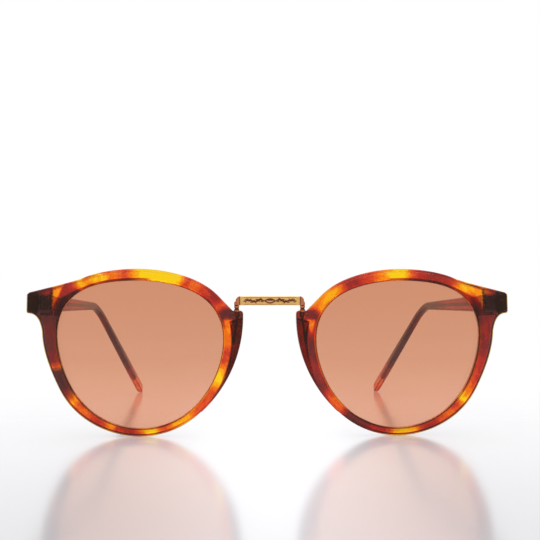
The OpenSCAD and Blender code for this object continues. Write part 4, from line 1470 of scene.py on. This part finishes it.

# %% [markdown]
# ## The studio
#
# The pair stands on glossy white acrylic, lit from behind by a wide white wall. The room behind the
# camera is dimmer than the wall, and that matters: the front faces then reflect less light, and the
# plastic shows the deep colour of what comes through it. Above, the room is a little brighter again.
#
# The floor is partly a mirror and partly its own pale white. It mirrors the pair softly, and a weak
# painted glow lifts its shadow, brightest as a painted pool of light in the middle in front of it. It
# turns to the wall's plain white with distance, so that no horizon shows.

# %% Light by direction
WALL = 1.0
WALL_EDGE = (-0.35, 0.05)
ROOM_AHEAD = 0.62
ROOM_ABOVE = 0.75
CEILING_EDGE = (0.15, 0.75)
WORLD_LIGHT = 0.85
WHITE = (1, 1, 1, 1)


def white_rays(tree):
    """1 for camera, glossy and transmission rays, and 0 for the rest."""
    path = add(tree, "ShaderNodeLightPath")
    total = path.outputs["Is Camera Ray"]
    for name in ("Is Glossy Ray", "Is Transmission Ray"):
        total = combine(tree, "MAXIMUM", total, path.outputs[name])
    return total


world = bpy.data.worlds.new("studio")
bpy.context.scene.world = world
world.use_nodes = True
studio = world.node_tree
looking = add(studio, "ShaderNodeTexCoord").outputs["Generated"]
direction = add(studio, "ShaderNodeSeparateXYZ", {0: looking})
room = ranged(studio, direction.outputs["Z"], *CEILING_EDGE, ROOM_AHEAD, ROOM_ABOVE)
level = ranged(studio, direction.outputs["Y"], *WALL_EDGE, room, WALL)
seen = ranged(studio, white_rays(studio), 0, 1, WORLD_LIGHT, 1.0)
camera_ray = add(studio, "ShaderNodeLightPath").outputs["Is Camera Ray"]
level = combine(studio, "MAXIMUM", combine(studio, "MULTIPLY", level, seen), camera_ray)
fill(studio, studio.nodes["Background"], {"Strength": level, "Color": WHITE})
print("light from the wall", WALL, "from the room ahead", ROOM_AHEAD, "and above", ROOM_ABOVE)

# %% Floor and lamp
FLOOR_HALF = 4.0
FLOOR_COLOR = (0.45, 0.445, 0.465, 1)
FLOOR_ROUGH = 0.145
FLOOR_MIRROR = 0.23
# Painted light: the floor's weak glow, stronger behind the pair and in a pool in the middle in front of it,
# lifts the floor's shadow.
GLOW_COLOR = (0.97, 0.97, 1.0, 1)
FLOOR_GLOW = 0.252
NEAR_GLOW = 0.205
NEAR_EDGE = (-0.2, -0.07)
MIDDLE_GLOW = 0.18
MIDDLE_AT = -0.13
MIDDLE_HALF = 0.043
MIDDLE_DEEP = 0.25
WALL_FADE = (0.0, 0.5)
VIEW_FADE = (0.25, 1.0)
LAMP_SIZE = 0.9
LAMP_PLACE = (0.0, -0.1, 0.8)
LAMP_POWER = 3.0


def floor_material():
    """Glossy white with a weak painted glow and pool of light, turning to plain white light behind the pair.
    """
    material, tree, where = new_material("white_acrylic")
    spot = stretched(tree, where, (1 / MIDDLE_HALF, 1 / MIDDLE_DEEP, 1), (0, -MIDDLE_AT / MIDDLE_DEEP, 0))
    aside, distance = [add(tree, "ShaderNodeVectorMath", {0: vector}, operation="LENGTH").outputs["Value"]
                       for vector in (spot, where)]
    behind = add(tree, "ShaderNodeSeparateXYZ", {0: where}).outputs["Y"]
    glow = combine(tree, "ADD", ranged(tree, aside, 0, 1, MIDDLE_GLOW, 0),
                   ranged(tree, behind, *NEAR_EDGE, NEAR_GLOW, FLOOR_GLOW))
    seen = white_rays(tree)
    camera_ray = add(tree, "ShaderNodeLightPath").outputs["Is Camera Ray"]
    fade = combine(tree, "MAXIMUM", ranged(tree, behind, *WALL_FADE, 0, 1),
                   combine(tree, "MULTIPLY", camera_ray, ranged(tree, distance, *VIEW_FADE, 0, 1)))
    white = add(tree, "ShaderNodeEmission", {"Color": WHITE, "Strength": 1.0})
    gloss = tree.nodes["Principled BSDF"]
    mix = {"Fac": combine(tree, "MULTIPLY", fade, seen), 1: gloss.outputs[0], 2: white.outputs[0]}
    fill(tree, tree.nodes["Material Output"], {"Surface": add(tree, "ShaderNodeMixShader", mix).outputs[0]})
    return finished(material, {
        "Base Color": FLOOR_COLOR,
        "Metallic": FLOOR_MIRROR,
        "IOR": 1.5,
        "Roughness": FLOOR_ROUGH,
        "Emission Color": GLOW_COLOR,
        "Emission Strength": combine(tree, "MULTIPLY", glow, seen)})


floor_mesh = bpy.data.meshes.new("floor")
corners = [(x * FLOOR_HALF, y * FLOOR_HALF, 0) for x, y in ((-1, -1), (1, -1), (1, 1), (-1, 1))]
floor_mesh.from_pydata(corners, [], [(0, 1, 2, 3)])
floor_mesh.materials.append(floor_material())
floor = bpy.data.objects.new("floor", floor_mesh)
bpy.context.scene.collection.objects.link(floor)

lamp_data = bpy.data.lights.new("soft_lamp", "AREA")
lamp_data.size = LAMP_SIZE
lamp_data.energy = LAMP_POWER
lamp = bpy.data.objects.new("soft_lamp", lamp_data)
lamp.location = LAMP_PLACE
bpy.context.scene.collection.objects.link(lamp)
print("floor half width in m:", FLOOR_HALF)

# %% [markdown]
# ## The camera
#
# The photograph is taken from low down, at the height of the temples, and from only about thirty
# centimetres away, so the far ends of the temples look small and the table is seen at a grazing
# angle. The camera stands a little to the wearer's right and looks very slightly up.

# %% Camera
CAMERA_AWAY = 300
CAMERA_HEIGHT = 42.35
CAMERA_YAW = 2.0
CAMERA_PITCH = 1.14
SENSOR_MM = 36
FOCAL_MM = 69.15
camera_data = bpy.data.cameras.new("camera")
camera_data.sensor_width = SENSOR_MM
camera_data.lens = FOCAL_MM
camera_data.clip_start = 0.01
camera = bpy.data.objects.new("camera", camera_data)
camera_x = -CAMERA_AWAY * sin(CAMERA_YAW)
camera_y = FRONT_Y - CAMERA_AWAY * cos(CAMERA_YAW)
camera.location = (camera_x * MM, camera_y * MM, CAMERA_HEIGHT * MM)
camera.rotation_euler = (math.radians(90 + CAMERA_PITCH), 0, math.radians(-CAMERA_YAW))
bpy.context.scene.collection.objects.link(camera)
bpy.context.scene.camera = camera
bpy.context.scene.view_settings.view_transform = "Standard"
print("camera at, in mm:", [round(v / MM, 1) for v in camera.location])
